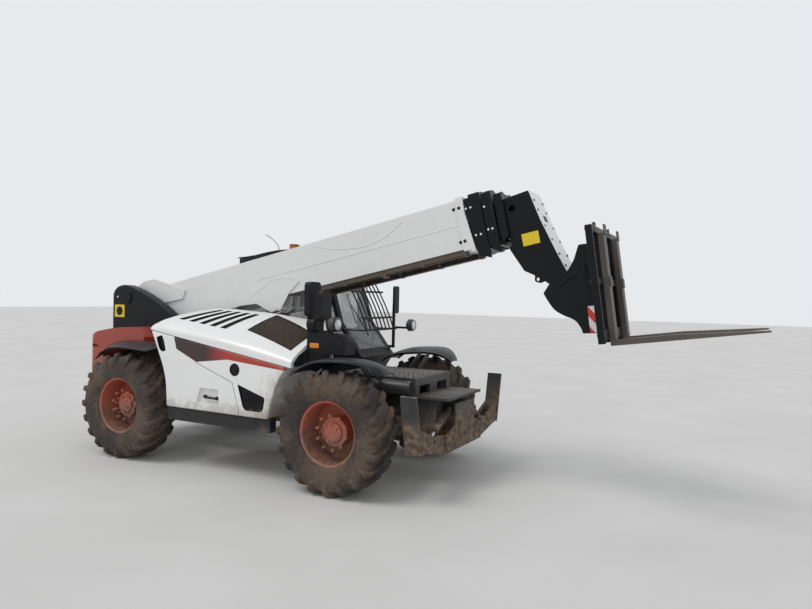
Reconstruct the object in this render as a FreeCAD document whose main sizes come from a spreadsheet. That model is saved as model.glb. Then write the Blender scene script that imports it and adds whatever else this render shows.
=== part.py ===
import FreeCAD, Part
import Sketcher
import math
import os

# Telehandler with side-mounted engine, four-section boom and front stabilisers.
# Millimetres. X runs forward to the forks, Y to the driver's left, Z up.
# Lengths along X are measured from the middle of the wheelbase. Every piece is
# then set back so that the origin lies on the ground below the machine's middle.

doc = FreeCAD.newDocument("telehandler")
sheet = doc.addObject("Spreadsheet::Sheet", "Sizes")
V = FreeCAD.Vector


# A size is a number together with the expression that gives it from the sheet.
class Size:
    def __init__(self, text, value):
        self.text = text
        self.value = value

    def join(self, sign, other, value):
        return Size("(%s %s %s)" % (self.text, sign, as_size(other).text), value)

    def __add__(self, other):
        return self.join("+", other, self.value + as_size(other).value)

    def __sub__(self, other):
        return self.join("-", other, self.value - as_size(other).value)

    def __mul__(self, other):
        return self.join("*", other, self.value * as_size(other).value)

    def __truediv__(self, other):
        return self.join("/", other, self.value / as_size(other).value)

    def __neg__(self):
        return as_size(0) - self

    __radd__ = __add__
    __rmul__ = __mul__

    def __rsub__(self, other):
        return as_size(other) - self


def as_size(number):
    if isinstance(number, Size):
        return number
    return Size("(%r)" % number if number < 0 else "%r" % number, float(number))


def sine(angle):
    return Size("sin(%s)" % angle.text, math.sin(math.radians(angle.value)))


def cosine(angle):
    return Size("cos(%s)" % angle.text, math.cos(math.radians(angle.value)))


row = 0


def size(name, number):
    global row
    row += 1
    sheet.set("A%d" % row, name)
    sheet.set("B%d" % row, str(number))
    sheet.setAlias("B%d" % row, name)
    return Size("Sizes.%s" % name, float(number))


# Running gear
wheelbase = size("wheelbase", 2850)
axle_x = wheelbase / 2
tyre_radius = size("tyre_radius", 600)
tyre_width = size("tyre_width", 400)
tread_depth = size("tread_depth", 42)
shoulder = size("shoulder", 60)
sidewall_dish = size("sidewall_dish", 60)
lug_width = size("lug_width", 58)
lug_slant = size("lug_slant", 120)
wheel_y = size("wheel_y", 1010)
rim_radius = size("rim_radius", 305)
rim_flange = size("rim_flange", 25)
rim_slack = size("rim_slack", 2.25)
rim_lip = size("rim_lip", 160)
rim_wall = size("rim_wall", 12)
disc_depth = size("disc_depth", 140)
disc_wall = size("disc_wall", 25)
hub_radius = size("hub_radius", 140)
hub_reach = size("hub_reach", 30)
hub_step = size("hub_step", 50)
kingpin_y = size("kingpin_y", 780)
knuckle_radius = size("knuckle_radius", 150)
gap = size("gap", 0.3)
swing_room = size("swing_room", 6)
axle_beam = size("axle_beam", 200)
axle_half = size("axle_half", 600)
clevis_plate = size("clevis_plate", 40)
clevis_open = size("clevis_open", 340)
boss_radius = size("boss_radius", 60)
diff_radius = size("diff_radius", 190)

# Frame
frame_half = size("frame_half", 329.7)
frame_plate = size("frame_plate", 40)
frame_low = size("frame_low", 520)
frame_high = size("frame_high", 900)
frame_overhang = size("frame_overhang", 875)
frame_back = -axle_x - frame_overhang
rear_overhang = size("rear_overhang", 1015)
rear_end = -axle_x - rear_overhang
upright_in = size("upright_in", 330)
upright_wall = size("upright_wall", 120)
upright_rib = size("upright_rib", 14)
weight_half = size("weight_half", 790)
weight_round = size("weight_round", 110)
tow_pin = size("tow_pin", 16)
nose_overhang = size("nose_overhang", 555)
nose_front = axle_x + nose_overhang
nose_half = size("nose_half", 430)
deck_top = size("deck_top", 1090)
deck_plate = size("deck_plate", 25)
tank_radius = size("tank_radius", 72)

# Boom
pivot_setback = size("pivot_setback", 725)
pivot_x = -axle_x - pivot_setback
pivot_z = size("pivot_z", 1820)
boom_angle = size("boom_angle", 12.6)
pin_radius = size("pin_radius", 50)
boom_top = size("boom_top", 60)
boom_depth = size("boom_depth", 497)
boom_half = size("boom_half", 265)
boom_back = size("boom_back", 200)
boom_front = size("boom_front", 4650)
boom_wall = size("boom_wall", 12)
nest = size("nest", 22)
shoe_length = size("shoe_length", 250)
head_half = size("head_half", 200)
head_plate = size("head_plate", 25)
gusset_wall = size("gusset_wall", 12)
tilt_u = size("tilt_u", 5446)
tilt_v = size("tilt_v", -915)
tilt_angle = size("tilt_angle", 8.1)
lug_u = size("lug_u", 2160)
lug_v = size("lug_v", -565)
lift_setback = size("lift_setback", 375)
lift_x = -axle_x - lift_setback
lift_z = size("lift_z", 900)
barrel_radius = size("barrel_radius", 85)
barrel_length = size("barrel_length", 1480)
rod_radius = size("rod_radius", 45)

# Carriage and forks
carriage_half = size("carriage_half", 620)
fork_plate_back = size("fork_plate_back", 345)
fork_post = size("fork_post", 100)
fork_top = size("fork_top", 400)
fork_low = size("fork_low", -660)
fork_length = size("fork_length", 1200)
fork_width = size("fork_width", 130)
fork_thick = size("fork_thick", 50)
fork_y = size("fork_y", 330)
post_width = size("post_width", 40)
post_in = size("post_in", 240)
carrier_wall = size("carrier_wall", 25)

# Bodywork
pod_in = size("pod_in", 380)
side_y = size("side_y", 1120)
skin = size("skin", 30)
sill_low = size("sill_low", 650)
arch_gap = size("arch_gap", 125)
arch_front = axle_x - tyre_radius - arch_gap
arch_back = -arch_front
arch_lip = size("arch_lip", 85)
arch_toe = arch_front - size("arch_cut", 20)
hood_rear_step = size("hood_rear_step", 280)
hood_back = arch_back - hood_rear_step
hood_nose_step = size("hood_nose_step", 250)
hood_front = arch_front + hood_nose_step
hood_split_back = size("hood_split_back", 1481)
hood_split_front = size("hood_split_front", 1182)
cab_in = size("cab_in", 332)
cab_out = size("cab_out", 1120)
cab_roof_z = size("cab_roof_z", 2360)
roof_thick = size("roof_thick", 110)
cab_rear_step = size("cab_rear_step", 300)
cab_back = arch_back - cab_rear_step
post = size("post", 70)
sash_z = size("sash_z", 1350)
glass_thick = size("glass_thick", 6)
door_back_set = size("door_back_set", 370)
door_back = arch_back + door_back_set
door_front_set = size("door_front_set", 280)
door_front = arch_front - door_front_set
door_thick = size("door_thick", 40)
hinge_set = size("hinge_set", 15)
hinge_radius = size("hinge_radius", 12)
guard_bar = size("guard_bar", 12)
fender_thick = size("fender_thick", 12)
fender_in = size("fender_in", 700)
fender_room = size("fender_room", 35)
arm_bar = size("arm_bar", 30)

# Stabilisers
leg_pivot_y = size("leg_pivot_y", 400)
leg_pivot_z = size("leg_pivot_z", 480)
leg_reach = size("leg_reach", 765)
leg_back = axle_x + leg_reach
leg_thick = size("leg_thick", 140)
leg_web = size("leg_web", 30)
leg_pin = size("leg_pin", 30)
ram_y = size("ram_y", 190)
ram_z = size("ram_z", 800)
ram_pin = size("ram_pin", 18)
ram_rod = size("ram_rod", 18)
ram_barrel = size("ram_barrel", 35)
lug_y = size("lug_y", 300)
lug_z = size("lug_z", 70)

# The fork tips give the front end of the whole machine.
carriage_x = pivot_x + tilt_u * cosine(boom_angle) - tilt_v * sine(boom_angle)
carriage_z = pivot_z + tilt_u * sine(boom_angle) + tilt_v * cosine(boom_angle)
fork_back = fork_plate_back + fork_post
tip_x = carriage_x + (fork_back + fork_length) * cosine(tilt_angle) - fork_low * sine(tilt_angle)
middle_x = (rear_end + tip_x) / 2

nodes = []


def bind(thing, place, value):
    thing.setExpression(place, as_size(value).text)


# Places a finished piece: at a point, turned about Y by an angle, or about Z.
def place(thing, label, at=(0, 0, 0), turn=None, about=V(0, 1, 0)):
    thing.Label = label
    bind(thing, "Placement.Base.x", at[0] - middle_x)
    bind(thing, "Placement.Base.y", at[1])
    bind(thing, "Placement.Base.z", at[2])
    if turn is not None:
        thing.Placement = FreeCAD.Placement(V(0, 0, 0), FreeCAD.Rotation(about, as_size(turn).value))
        bind(thing, "Placement.Rotation.Angle", turn)
    nodes.append(thing)
    return thing


# A body whose features are drawn on its own origin planes.
class Piece:
    planes = {"XY": "XY_Plane", "XZ": "XZ_Plane", "YZ": "YZ_Plane"}

    def __init__(self, name):
        self.name = name
        self.count = 0
        self.body = doc.addObject("PartDesign::Body", name + "_body")
        if hasattr(self.body, "AllowCompound"):
            self.body.AllowCompound = True

    def named(self, kind):
        self.count += 1
        return "%s_%s_%d" % (self.name, kind, self.count)

    # Closed outlines of (across, up) corners; a third value is the radius of the
    # arc from that corner to the next, positive where it bulges to the right.
    # A round hole is ("hole", across, up, radius).
    def sketch(self, plane, outlines, offset=0):
        drawing = self.body.newObject("Sketcher::SketchObject", self.named("sketch"))
        role = self.planes[plane]
        base = [p for p in self.body.Origin.OriginFeatures if p.Role == role][0]
        drawing.AttachmentSupport = [(base, "")]
        drawing.MapMode = "FlatFace"
        bind(drawing, "AttachmentOffset.Base.z", offset)
        for outline in outlines:
            if outline[0] == "hole":
                self.circle(drawing, *outline[1:])
            else:
                self.outline(drawing, outline)
        return drawing

    def circle(self, drawing, across, up, radius):
        across, up, radius = as_size(across), as_size(up), as_size(radius)
        ring = drawing.addGeometry(Part.Circle(V(across.value, up.value, 0), V(0, 0, 1), radius.value))
        self.pin(drawing, ring, 3, across, up)
        self.rule(drawing, Sketcher.Constraint("Radius", ring, radius.value), radius)

    def rule(self, drawing, constraint, value):
        index = drawing.addConstraint(constraint)
        drawing.setExpression("Constraints[%d]" % index, value.text)

    def pin(self, drawing, item, end, across, up):
        self.rule(drawing, Sketcher.Constraint("DistanceX", item, end, across.value), across)
        self.rule(drawing, Sketcher.Constraint("DistanceY", item, end, up.value), up)

    def outline(self, drawing, corners):
        spots = [(as_size(c[0]), as_size(c[1]), c[2] if len(c) > 2 else None) for c in corners]
        edges = []
        for here, there in zip(spots, spots[1:] + spots[:1]):
            start, end = V(here[0].value, here[1].value, 0), V(there[0].value, there[1].value, 0)
            if here[2] is None:
                edges.append((drawing.addGeometry(Part.LineSegment(start, end)), 1, 2))
            else:
                edges.append(self.arc(drawing, start, end, as_size(here[2])))
        for edge, after in zip(edges, edges[1:] + edges[:1]):
            drawing.addConstraint(Sketcher.Constraint("Coincident", edge[0], edge[2], after[0], after[1]))
        for spot, edge in zip(spots, edges):
            self.pin(drawing, edge[0], edge[1], spot[0], spot[1])

    def arc(self, drawing, start, end, radius):
        chord = end - start
        side = V(chord.y, -chord.x, 0).normalize()
        rise = math.sqrt(max(radius.value ** 2 - (chord.Length / 2) ** 2, 0.0))
        sense = 1 if radius.value > 0 else -1
        centre = (start + end) * 0.5 - side * rise * sense
        middle = centre + side * abs(radius.value) * sense
        ends = (start, end) if sense > 0 else (end, start)
        item = drawing.addGeometry(Part.Arc(ends[0], middle, ends[1]))
        size_now = radius if sense > 0 else -radius
        self.rule(drawing, Sketcher.Constraint("Radius", item, size_now.value), size_now)
        return (item, 1, 2) if sense > 0 else (item, 2, 1)

    # Extrudes outlines between two heights of the plane's own normal: Y for XZ
    # outlines, X for YZ outlines and Z for XY outlines.
    def slab(self, plane, outlines, low, high, cut=False):
        low, high = as_size(low), as_size(high)
        offset = -high if plane == "XZ" else low
        drawing = self.sketch(plane, outlines, offset)
        kind = "PartDesign::Pocket" if cut else "PartDesign::Pad"
        feature = self.body.newObject(kind, self.named("cut" if cut else "pad"))
        feature.Profile = drawing
        bind(feature, "Length", high - low)
        if cut:
            feature.Reversed = True
        return self

    def cut(self, plane, outlines, low, high):
        return self.slab(plane, outlines, low, high, cut=True)

    # Turns an outline of (radius, along) corners round the Y axis.
    def turn(self, corners):
        drawing = self.sketch("XY", [corners])
        feature = self.body.newObject("PartDesign::Revolution", self.named("turn"))
        feature.Profile = drawing
        feature.ReferenceAxis = (drawing, ["V_Axis"])
        feature.Angle = 360
        return self

    # Joins outlines that stand on planes at the offsets given.
    def loft(self, plane, sections, cut=False):
        drawings = [self.sketch(plane, [corners], offset) for offset, corners in sections]
        kind = "PartDesign::SubtractiveLoft" if cut else "PartDesign::AdditiveLoft"
        feature = self.body.newObject(kind, self.named("loft"))
        feature.Profile = drawings[0]
        feature.Sections = drawings[1:]
        feature.Ruled = True
        return self

    # Pads an outline drawn across the Y axis and repeats it round that axis.
    def around(self, outline, low, high, lean, count):
        drawing = self.sketch("XY", [outline], low)
        lean = as_size(lean)
        drawing.AttachmentOffset = FreeCAD.Placement(V(0, 0, 0), FreeCAD.Rotation(V(0, 1, 0), lean.value))
        bind(drawing, "AttachmentOffset.Base.x", low * sine(lean))
        bind(drawing, "AttachmentOffset.Base.z", low * cosine(lean))
        pad = self.body.newObject("PartDesign::Pad", self.named("pad"))
        pad.Profile = drawing
        bind(pad, "Length", high - low)
        pattern = self.body.newObject("PartDesign::PolarPattern", self.named("ring"))
        pattern.Originals = [pad]
        axis = [line for line in self.body.Origin.OriginFeatures if line.Role == "Y_Axis"][0]
        pattern.Axis = (axis, [""])
        pattern.Angle = 360
        pattern.Occurrences = count
        self.body.Tip = pattern

    # Bevels all edges of the two end faces that stand across the Y axis.
    def bevel_ends(self, width):
        doc.recompute()
        solid = self.body.Tip
        ends = [index for index, face in enumerate(solid.Shape.Faces, 1) if abs(face.normalAt(0, 0).y) > 0.99]
        bevel = self.body.newObject("PartDesign::Chamfer", self.named("bevel"))
        bevel.Base = (solid, ["Face%d" % index for index in ends])
        bind(bevel, "Size", width)

    def done(self, label, at=(0, 0, 0), turn=None, about=V(0, 1, 0)):
        return place(self.body, label, at, turn, about)


def box(across_low, up_low, across_high, up_high):
    return [(across_low, up_low), (across_high, up_low), (across_high, up_high), (across_low, up_high)]


def both_sides(piece, plane, outlines, low, high, cut=False):
    piece.slab(plane, outlines, low, high, cut)
    piece.slab(plane, outlines, -high, -low, cut)


def chassis_frame(frame):
    seat = tyre_radius + axle_beam / 2 + gap
    notch = axle_beam / 2 + 20
    rise = 80
    side = [
        (frame_back, frame_low + rise), (frame_back + notch, frame_low), (-axle_x - notch, frame_low),
        (-axle_x - notch, seat), (-axle_x + notch, seat), (-axle_x + notch, frame_low),
        (axle_x - notch, frame_low), (axle_x - notch, seat), (axle_x + notch, seat),
        (axle_x + notch, frame_low), (nose_front, frame_low), (nose_front, frame_high),
        (frame_back, frame_high),
    ]
    inner = frame_half - frame_plate
    both_sides(frame, "XZ", [side], inner, frame_half)
    behind, ahead = notch * 3.5, notch * 2.75
    crosses = (frame_back, -axle_x - behind, -axle_x + behind, axle_x - behind, axle_x + ahead)
    for cross in crosses:
        frame.slab("YZ", [box(-inner, frame_low + rise, inner, frame_high - 100)], cross, cross + frame_plate)


def chassis():
    frame = Piece("frame")
    chassis_frame(frame)
    inner = frame_half - frame_plate
    foot = frame_high - 140
    foot_half, eye_half = 90, 70
    cheek_wall = 30
    cheek = [(lift_x - foot_half, foot), (lift_x + foot_half, foot), (lift_x + eye_half, lift_z, 72),
             (lift_x - eye_half, lift_z)]
    eye = ("hole", lift_x, lift_z, pin_radius / 2 + gap)
    room = barrel_radius + cheek_wall / 2
    both_sides(frame, "XZ", [cheek, eye], room, room + cheek_wall)
    frame.slab("XY", [box(lift_x - 110, -inner, lift_x + 110, inner)], foot - cheek_wall, foot)
    frame.done("chassis_frame")


# Two curved plates that carry the boom's rear pivot, each with a rib outside.
def rear_uprights():
    tower = Piece("uprights")
    back = pivot_x - 270
    top = pivot_z + 150
    foot = frame_high - 130
    toe = pivot_x + 810
    side = [
        (back, frame_high + gap), (back + 100, foot), (toe - 30, foot), (toe, pivot_z - 220, 2600),
        (pivot_x + 20, top, 300), (pivot_x - 140, top, 170), (back, pivot_z + 40),
    ]
    hole = ("hole", pivot_x, pivot_z, pin_radius + gap)
    face = upright_in + upright_wall
    both_sides(tower, "XZ", [side, hole], upright_in, face)
    rib = [(toe - 50, pivot_z - 250), (toe, pivot_z - 220, 2600), (pivot_x + 20, top),
           (pivot_x + 30, top - 40, -2560)]
    both_sides(tower, "XZ", [rib], face, face + upright_rib)
    tower.done("rear_uprights")


def counterweight():
    mass = Piece("counterweight")
    wheel_back = -axle_x - tyre_radius - arch_gap - 10
    shelf = tyre_radius * 2 + 60
    hump = shelf + 210
    side = [
        (rear_end, sill_low), (wheel_back, sill_low), (wheel_back, shelf - 130), (wheel_back + 160, shelf),
        (-axle_x - 35, shelf), (-axle_x - 35, shelf + 100), (-axle_x - 155, hump),
        (-axle_x - 270, hump, 3000), (rear_end + 240, shelf + 150, 340), (rear_end, shelf + 20),
    ]
    mass.slab("XZ", [side], -weight_half, weight_half)
    room = upright_in + upright_wall + gap
    over = 50
    mass.cut("XY", [box(rear_end + 10, -room, -axle_x, room)], sill_low - over, hump + over)
    for sign in (1, -1):
        edge = weight_half * sign
        # The rear corners are rounded in plan.
        corner = [(rear_end, edge), (rear_end + weight_round, edge, weight_round * sign),
                  (rear_end, edge - weight_round * sign)]
        mass.cut("XY", [corner], sill_low - over, hump + over)
        low, high = sorted((edge, edge - 40 * sign), key=lambda v: v.value)
        mass.cut("XZ", [box(rear_end + 60, shelf - 60, rear_end + 190, shelf - 25)], low, high)
    reach = 60
    hitch = box(rear_end, -reach * 2, rear_end + reach * 2, reach * 2)
    eye = ("hole", rear_end + reach, 0, tow_pin)
    mass.slab("XY", [hitch, eye], sill_low - 40, sill_low)
    mass.cut("XY", [box(rear_end - over, -70, rear_end + reach * 2, 70)], sill_low, sill_low + 150)
    mass.done("counterweight")


# Flat front deck on two side plates, with an open front plate and a side tank.
def front_deck():
    deck = Piece("deck")
    back = axle_x - 380
    plate = 40
    under = deck_top - deck_plate
    deck.slab("XY", [box(back, -nose_half, nose_front, nose_half)], under, deck_top)
    front = box(-nose_half, frame_high + gap, nose_half, under)
    hole_low, hole_high = deck_top - 170, deck_top - 80
    holes = [box(-nose_half + 100, hole_low, -90, hole_high), box(90, hole_low, nose_half - 100, hole_high)]
    deck.slab("YZ", [front] + holes, nose_front - plate, nose_front)
    side = box(back, frame_high + gap, nose_front - plate, under)
    both_sides(deck, "XZ", [side], frame_half - frame_plate, frame_half)
    tank = ("hole", -nose_half, under - tank_radius - gap, tank_radius)
    deck.slab("YZ", [tank], axle_x - 270, nose_front - plate)
    deck.slab("YZ", [box(-nose_half, under - tank_radius * 1.5, -frame_half + 10, under - tank_radius / 2)],
              axle_x - 200, nose_front - plate)
    deck.done("front_deck")


# Mudguards: a bent sheet lofted from its inner to its outer edge. The columns
# are the distance from the axle and the height over the tyre.
def fender(piece, axle, inner, outer, inner_y, outer_y, sign):
    clear = tyre_radius * 2 + fender_room

    def strip(points):
        low = [(axle + x, clear + z) for x, z in points]
        return low + [(x, z + fender_thick) for x, z in reversed(low)]
    piece.loft("XZ", [(-inner_y * sign, strip(inner)), (-outer_y * sign, strip(outer))])


rear_inner = ((-760, -130), (-640, -20), (-480, 40), (-240, 66), (60, 70), (420, 55))
rear_outer = ((-435, -150), (-340, -60), (-215, 0), (-80, 16), (100, 16), (420, 0))
front_inner = ((-330, 20), (-180, 50), (40, 70), (250, 70), (350, 55), (440, 30))
front_outer = ((-375, -45), (-200, -5), (45, 16), (250, 16), (370, -4), (465, -30))


def fenders():
    rear = Piece("rear_fender")
    out = side_y + skin
    for sign in (1, -1):
        fender(rear, -axle_x, rear_inner, rear_outer, weight_half + gap, out, sign)
    rear.done("rear_fenders")
    front = Piece("front_fender")
    over = tyre_radius * 2 + fender_room + 70
    back, ahead = axle_x + 60, axle_x + 200
    for sign in (1, -1):
        fender(front, axle_x, front_inner, front_outer, fender_in, out, sign)
        low, high = sorted((sign * (nose_half + gap), sign * (fender_in - gap)), key=lambda v: v.value)
        front.slab("XZ", [box(back, over, ahead, over + fender_thick)], low, high)
        low, high = sorted((sign * (nose_half + gap), sign * (nose_half + arm_bar)), key=lambda v: v.value)
        front.slab("XZ", [box(back, deck_top - 20, ahead, over + 5)], low, high)
    front.done("front_fenders")


def split_z(x):
    fall = (hood_split_front - hood_split_back) / (hood_front - hood_back)
    return hood_split_back + (as_size(x) - hood_back) * fall


# Heights of the pod's and cab's bends above the sill.
knee, hip = 360, 300


def side_outline(inset=0):
    nose = arch_front + 200 - inset
    back = hood_back + 10 + inset
    return [
        (arch_back + inset, sill_low + inset), (arch_toe - inset, sill_low + inset),
        (arch_front + arch_lip - inset, sill_low + knee), (nose, split_z(nose)), (back, split_z(back)),
        (arch_back - 185 + inset, sill_low + 650), (arch_back - 90 + inset, sill_low + 450),
        (arch_back - 35 + inset, sill_low + hip), (arch_back - 5 + inset, sill_low + hip / 2),
    ]


# The pod is a thick shell, open inside, with a vent, a cap and a low window.
def engine_pod():
    pod = Piece("pod")
    pod.slab("XZ", [side_outline()], -side_y, -pod_in)
    top = hood_split_back + 100
    room = side_outline(skin)
    room[3:5] = [(room[3][0], top), (room[4][0], top)]
    pod.cut("XZ", [room], skin - side_y, -pod_in - skin)
    vent = [(hood_back + 95, 1405), (hood_back + 180, 1430), (hood_back + 205, 1390), (hood_back + 245, 1260),
            (hood_back + 180, 1245), (hood_back + 135, 1290)]
    window = [(arch_front - 415, 975), (arch_front - 55, 865), (arch_front - 80, 735),
              (arch_front - 115, 715), (arch_front - 305, 715), (arch_front - 340, 745)]
    pod.cut("XZ", [vent, window], -side_y - 5, 20 - side_y)
    pod.done("engine_pod")
    block = Piece("engine")
    floor = sill_low + skin + gap
    block.slab("XZ", [box(arch_back + 180, floor, arch_front - 220, floor + 530)], 150 - side_y, -pod_in - 90)
    block.done("engine_block")


# Bonnet sections along the machine. Columns: distance from the hood's back as a
# share of its length, then the heights of its lower crease, shoulder, crown and ridge.
bonnet_sections = (
    (0.0, 1497, 1560, 1628, 1665), (0.185, 1478, 1577, 1669, 1728), (0.6, 1390, 1475, 1603, 1695),
    (1.0, 1243, 1330, 1480, 1590),
)


def bonnet():
    crease_in, crown_y = 110, 690

    def section(line, inset, drop):
        share, crease, brow, crown, ridge = line
        x = hood_back + (hood_front - hood_back) * share
        low = split_z(x) + gap - drop
        return (x, [(inset - side_y, low), (inset - side_y, crease - inset * 0.8),
                    (inset - side_y + crease_in, brow - inset), (-crown_y, crown - inset),
                    (-pod_in - inset, ridge - inset), (-pod_in - inset, low)])
    lid = Piece("bonnet")
    lid.loft("YZ", [section(line, 0, 0) for line in bonnet_sections])
    hollow = [section(line, skin, 60) for line in bonnet_sections]
    hollow[0] = (hollow[0][0] + skin, hollow[0][1])
    hollow[-1] = (hollow[-1][0] - skin, hollow[-1][1])
    lid.loft("YZ", hollow, cut=True)
    # Five slanting slots and the grille opening over the cooler.
    high, pitch = 1800, 152
    near, far = 170 - side_y, 620 - side_y
    slots = []
    for number in range(5):
        back = hood_back + 245 + pitch * number
        inner = hood_back + 430 + pitch * 0.86 * number
        slots.append([(back, near), (back + 85, near), (inner + 75, far), (inner, far)])
    lid.cut("XY", slots, 1440, high)
    grille = [(hood_front - 750, -890), (hood_front - 80, -1010), (hood_front - 50, -660),
              (hood_front - 720, -430)]
    lid.cut("XY", [grille], 1300, high)
    lid.done("bonnet")


# The cab's front edge. Columns: distance ahead of the wheel arch, and height.
cab_front = ((200, 1180), (160, 1220), (-120, 1580), (-250, 1980))
cab_crown = -370


def cab_edge(inset=0):
    edge = [(arch_front + (x - inset), z) for x, z in cab_front]
    return edge + [(arch_front + (cab_crown - inset), cab_roof_z)]


# How far forward the cab's front edge lies at a height.
def cab_edge_at(height):
    rows = cab_front + ((cab_crown, cab_roof_z.value),)
    for (x, z), (next_x, next_z) in zip(rows, rows[1:]):
        if z <= height <= next_z:
            return arch_front + (x + (next_x - x) * (height - z) / (next_z - z))
    return arch_front + cab_crown


def side_pane():
    back = cab_back + post + skin
    head = cab_roof_z - post
    return [(back, sash_z), (arch_front, sash_z), (arch_front - 180, sash_z + 250),
            (arch_front - 300, sash_z + 600), (arch_front - 400, head), (back, head)]


def door_outline(inset, foot, head):
    slope = 125
    return [(door_back + inset, foot), (door_front - inset, foot), (door_front - inset, 1900),
            (door_front - slope - inset, head), (door_back + inset, head)]


def cab():
    shell = Piece("cab")
    bend = sill_low + knee
    side = [(arch_back, sill_low), (arch_toe, sill_low), (arch_front + arch_lip, bend)] + cab_edge()
    side += [(cab_back, cab_roof_z), (cab_back, sill_low + 650), (arch_back - 50, sill_low + hip)]
    shell.slab("XZ", [side], cab_in, cab_out)
    over = 10
    room = [(arch_back + skin, sill_low + skin), (arch_toe - skin, sill_low + skin),
            (arch_front + arch_lip - skin, bend + 20)] + cab_edge(40)[1:-1]
    room += [(arch_front + (cab_crown - 40), cab_roof_z + over), (cab_back + skin, cab_roof_z + over),
             (cab_back + skin, sill_low + 660), (arch_back - 20, sill_low + hip)]
    shell.cut("XZ", [room], cab_in + skin, cab_out - skin)
    inner = cab_in + skin + 20
    shell.cut("XZ", [side_pane()], cab_in - over, inner)
    foot, head = sill_low + 60, cab_roof_z - 60
    shell.cut("XZ", [door_outline(0, foot, head)], cab_out - skin - over, cab_out + over)
    quarter = box(cab_back + post, sash_z, door_back - post, cab_roof_z - post)
    shell.cut("XZ", [quarter], cab_out - skin - over, cab_out + over)
    front = box(inner + skin, deck_top + 180, cab_out - post, head)
    shell.cut("YZ", [front], arch_front - 410, arch_front + 200)
    shell.cut("YZ", [box(inner + skin, sash_z, cab_out - post, head)], cab_back - over, cab_back + 50)
    shell.done("cab_body")
    roof = Piece("roof")
    brow = arch_front + cab_crown + 30
    rear = cab_back - 60
    outline = [
        (rear, cab_roof_z + gap), (brow, cab_roof_z + gap), (brow - 20, cab_roof_z + 60),
        (brow - 120, cab_roof_z + roof_thick - 15), (brow - 660, cab_roof_z + roof_thick),
        (rear + 90, cab_roof_z + roof_thick - 5), (rear, cab_roof_z + 60),
    ]
    roof.slab("XZ", [outline], cab_in, cab_out)
    roof.done("cab_roof")
    door_leaf = Piece("door")
    edge = 6
    leaf = door_outline(edge, foot + edge, head - edge)
    window = door_outline(post, sill_low + 600, head - post)
    face = cab_out - skin + door_thick
    door_leaf.slab("XZ", [leaf, window], cab_out - skin, face)
    door_leaf.slab("XZ", [window], cab_out - skin + over, cab_out - skin + over + glass_thick)
    hinge_x, hinge_y = door_back - hinge_set, cab_out + hinge_radius + gap
    barrel = 90
    for level in (sill_low + 300, cab_roof_z - 400):
        door_leaf.slab("XY", [("hole", hinge_x, hinge_y, hinge_radius)], level, level + barrel)
        strap = box(hinge_x, face - 2, door_back + barrel, hinge_y + hinge_radius)
        door_leaf.slab("XY", [strap], level + over, level + barrel - over)
    door_leaf.done("cab_door")


def cab_glass():
    glass = Piece("glass")
    glass.slab("XZ", [side_pane()], cab_in + 8, cab_in + 8 + glass_thick)
    quarter = box(cab_back + post, sash_z, door_back - post, cab_roof_z - post)
    glass.slab("XZ", [quarter], cab_out - 20, cab_out - 20 + glass_thick)
    inner = cab_in + skin + 50
    rear = box(inner, sash_z, cab_out - post, cab_roof_z - 60)
    glass.slab("YZ", [rear], cab_back + 8, cab_back + 8 + glass_thick)
    # The windscreen is a bent sheet that follows the cab's front edge.
    levels = (deck_top + 180 + gap, as_size(1580), as_size(1980), cab_roof_z - 60 - gap)
    sheet_in = [(cab_edge_at(level.value) - 16, level) for level in levels]
    sheet_out = [(x + glass_thick, z) for x, z in reversed(sheet_in)]
    glass.slab("XZ", [sheet_in + sheet_out], inner + gap, cab_out - post - gap)
    glass.done("cab_glass")


# Bent guard bars before the windscreen. Columns: distance from the arch, height.
guard_line = ((-300, 2320), (-205, 2235), (-105, 2110), (0, 1945), (85, 1790), (160, 1630), (212, 1490))


def cab_guard():
    guard = Piece("guard")
    bend = [(arch_front + x, as_size(z)) for x, z in guard_line]
    strip = bend + [(x + guard_bar, z + guard_bar / 2) for x, z in reversed(bend)]
    side = 60
    spaces = 7
    pitch = (cab_out - cab_in - side * 2 - guard_bar) / spaces
    guard.slab("XZ", [strip], cab_in + side, cab_out - side)
    over = 30
    between = []
    rear, ahead = arch_front + (guard_line[0][0] - over), arch_front + (guard_line[-1][0] + over)
    for index in range(spaces):
        low = cab_in + side + guard_bar + pitch * index
        between.append(box(rear, low, ahead, low + pitch - guard_bar))
    guard.cut("XY", between, guard_line[-1][1] - over, guard_line[0][1] + over)
    for x, z in (bend[0], bend[3], bend[5], bend[6]):
        rail = box(x + guard_bar / 2, z, x + guard_bar * 2.5, z + guard_bar * 2)
        guard.slab("XZ", [rail], cab_in + 20, cab_out - 20)
    for y in (cab_in + 25, cab_out - 45):
        for (x, z), depth in ((bend[0], 20), (bend[6], 15)):
            tab = box(cab_edge_at(z.value) + gap, z, x + 20, z + depth)
            guard.slab("XZ", [tab], y, y + 20)
    guard.done("cab_guard")


def driver_place():
    seat = Piece("seat")
    floor = sill_low + skin + gap
    back = arch_back + 80
    side = [(back, floor), (back + 420, floor), (back + 420, 1080), (back + 490, 1110), (back + 480, 1200),
            (back + 60, 1190), (back - 20, 1780), (back - 110, 1780), (back - 80, 1080), (back, 1080)]
    seat.slab("XZ", [side], cab_in + 170, cab_in + 630)
    seat.done("seat")
    dash = Piece("dash")
    front = arch_front - 140
    column = [(front - 230, floor), (front, floor), (front, 1120), (front - 260, 1250), (front - 310, 1220),
              (front - 180, 1080)]
    dash.slab("XZ", [column], cab_in + 300, cab_in + 500)
    dash.done("steering_column")


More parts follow.
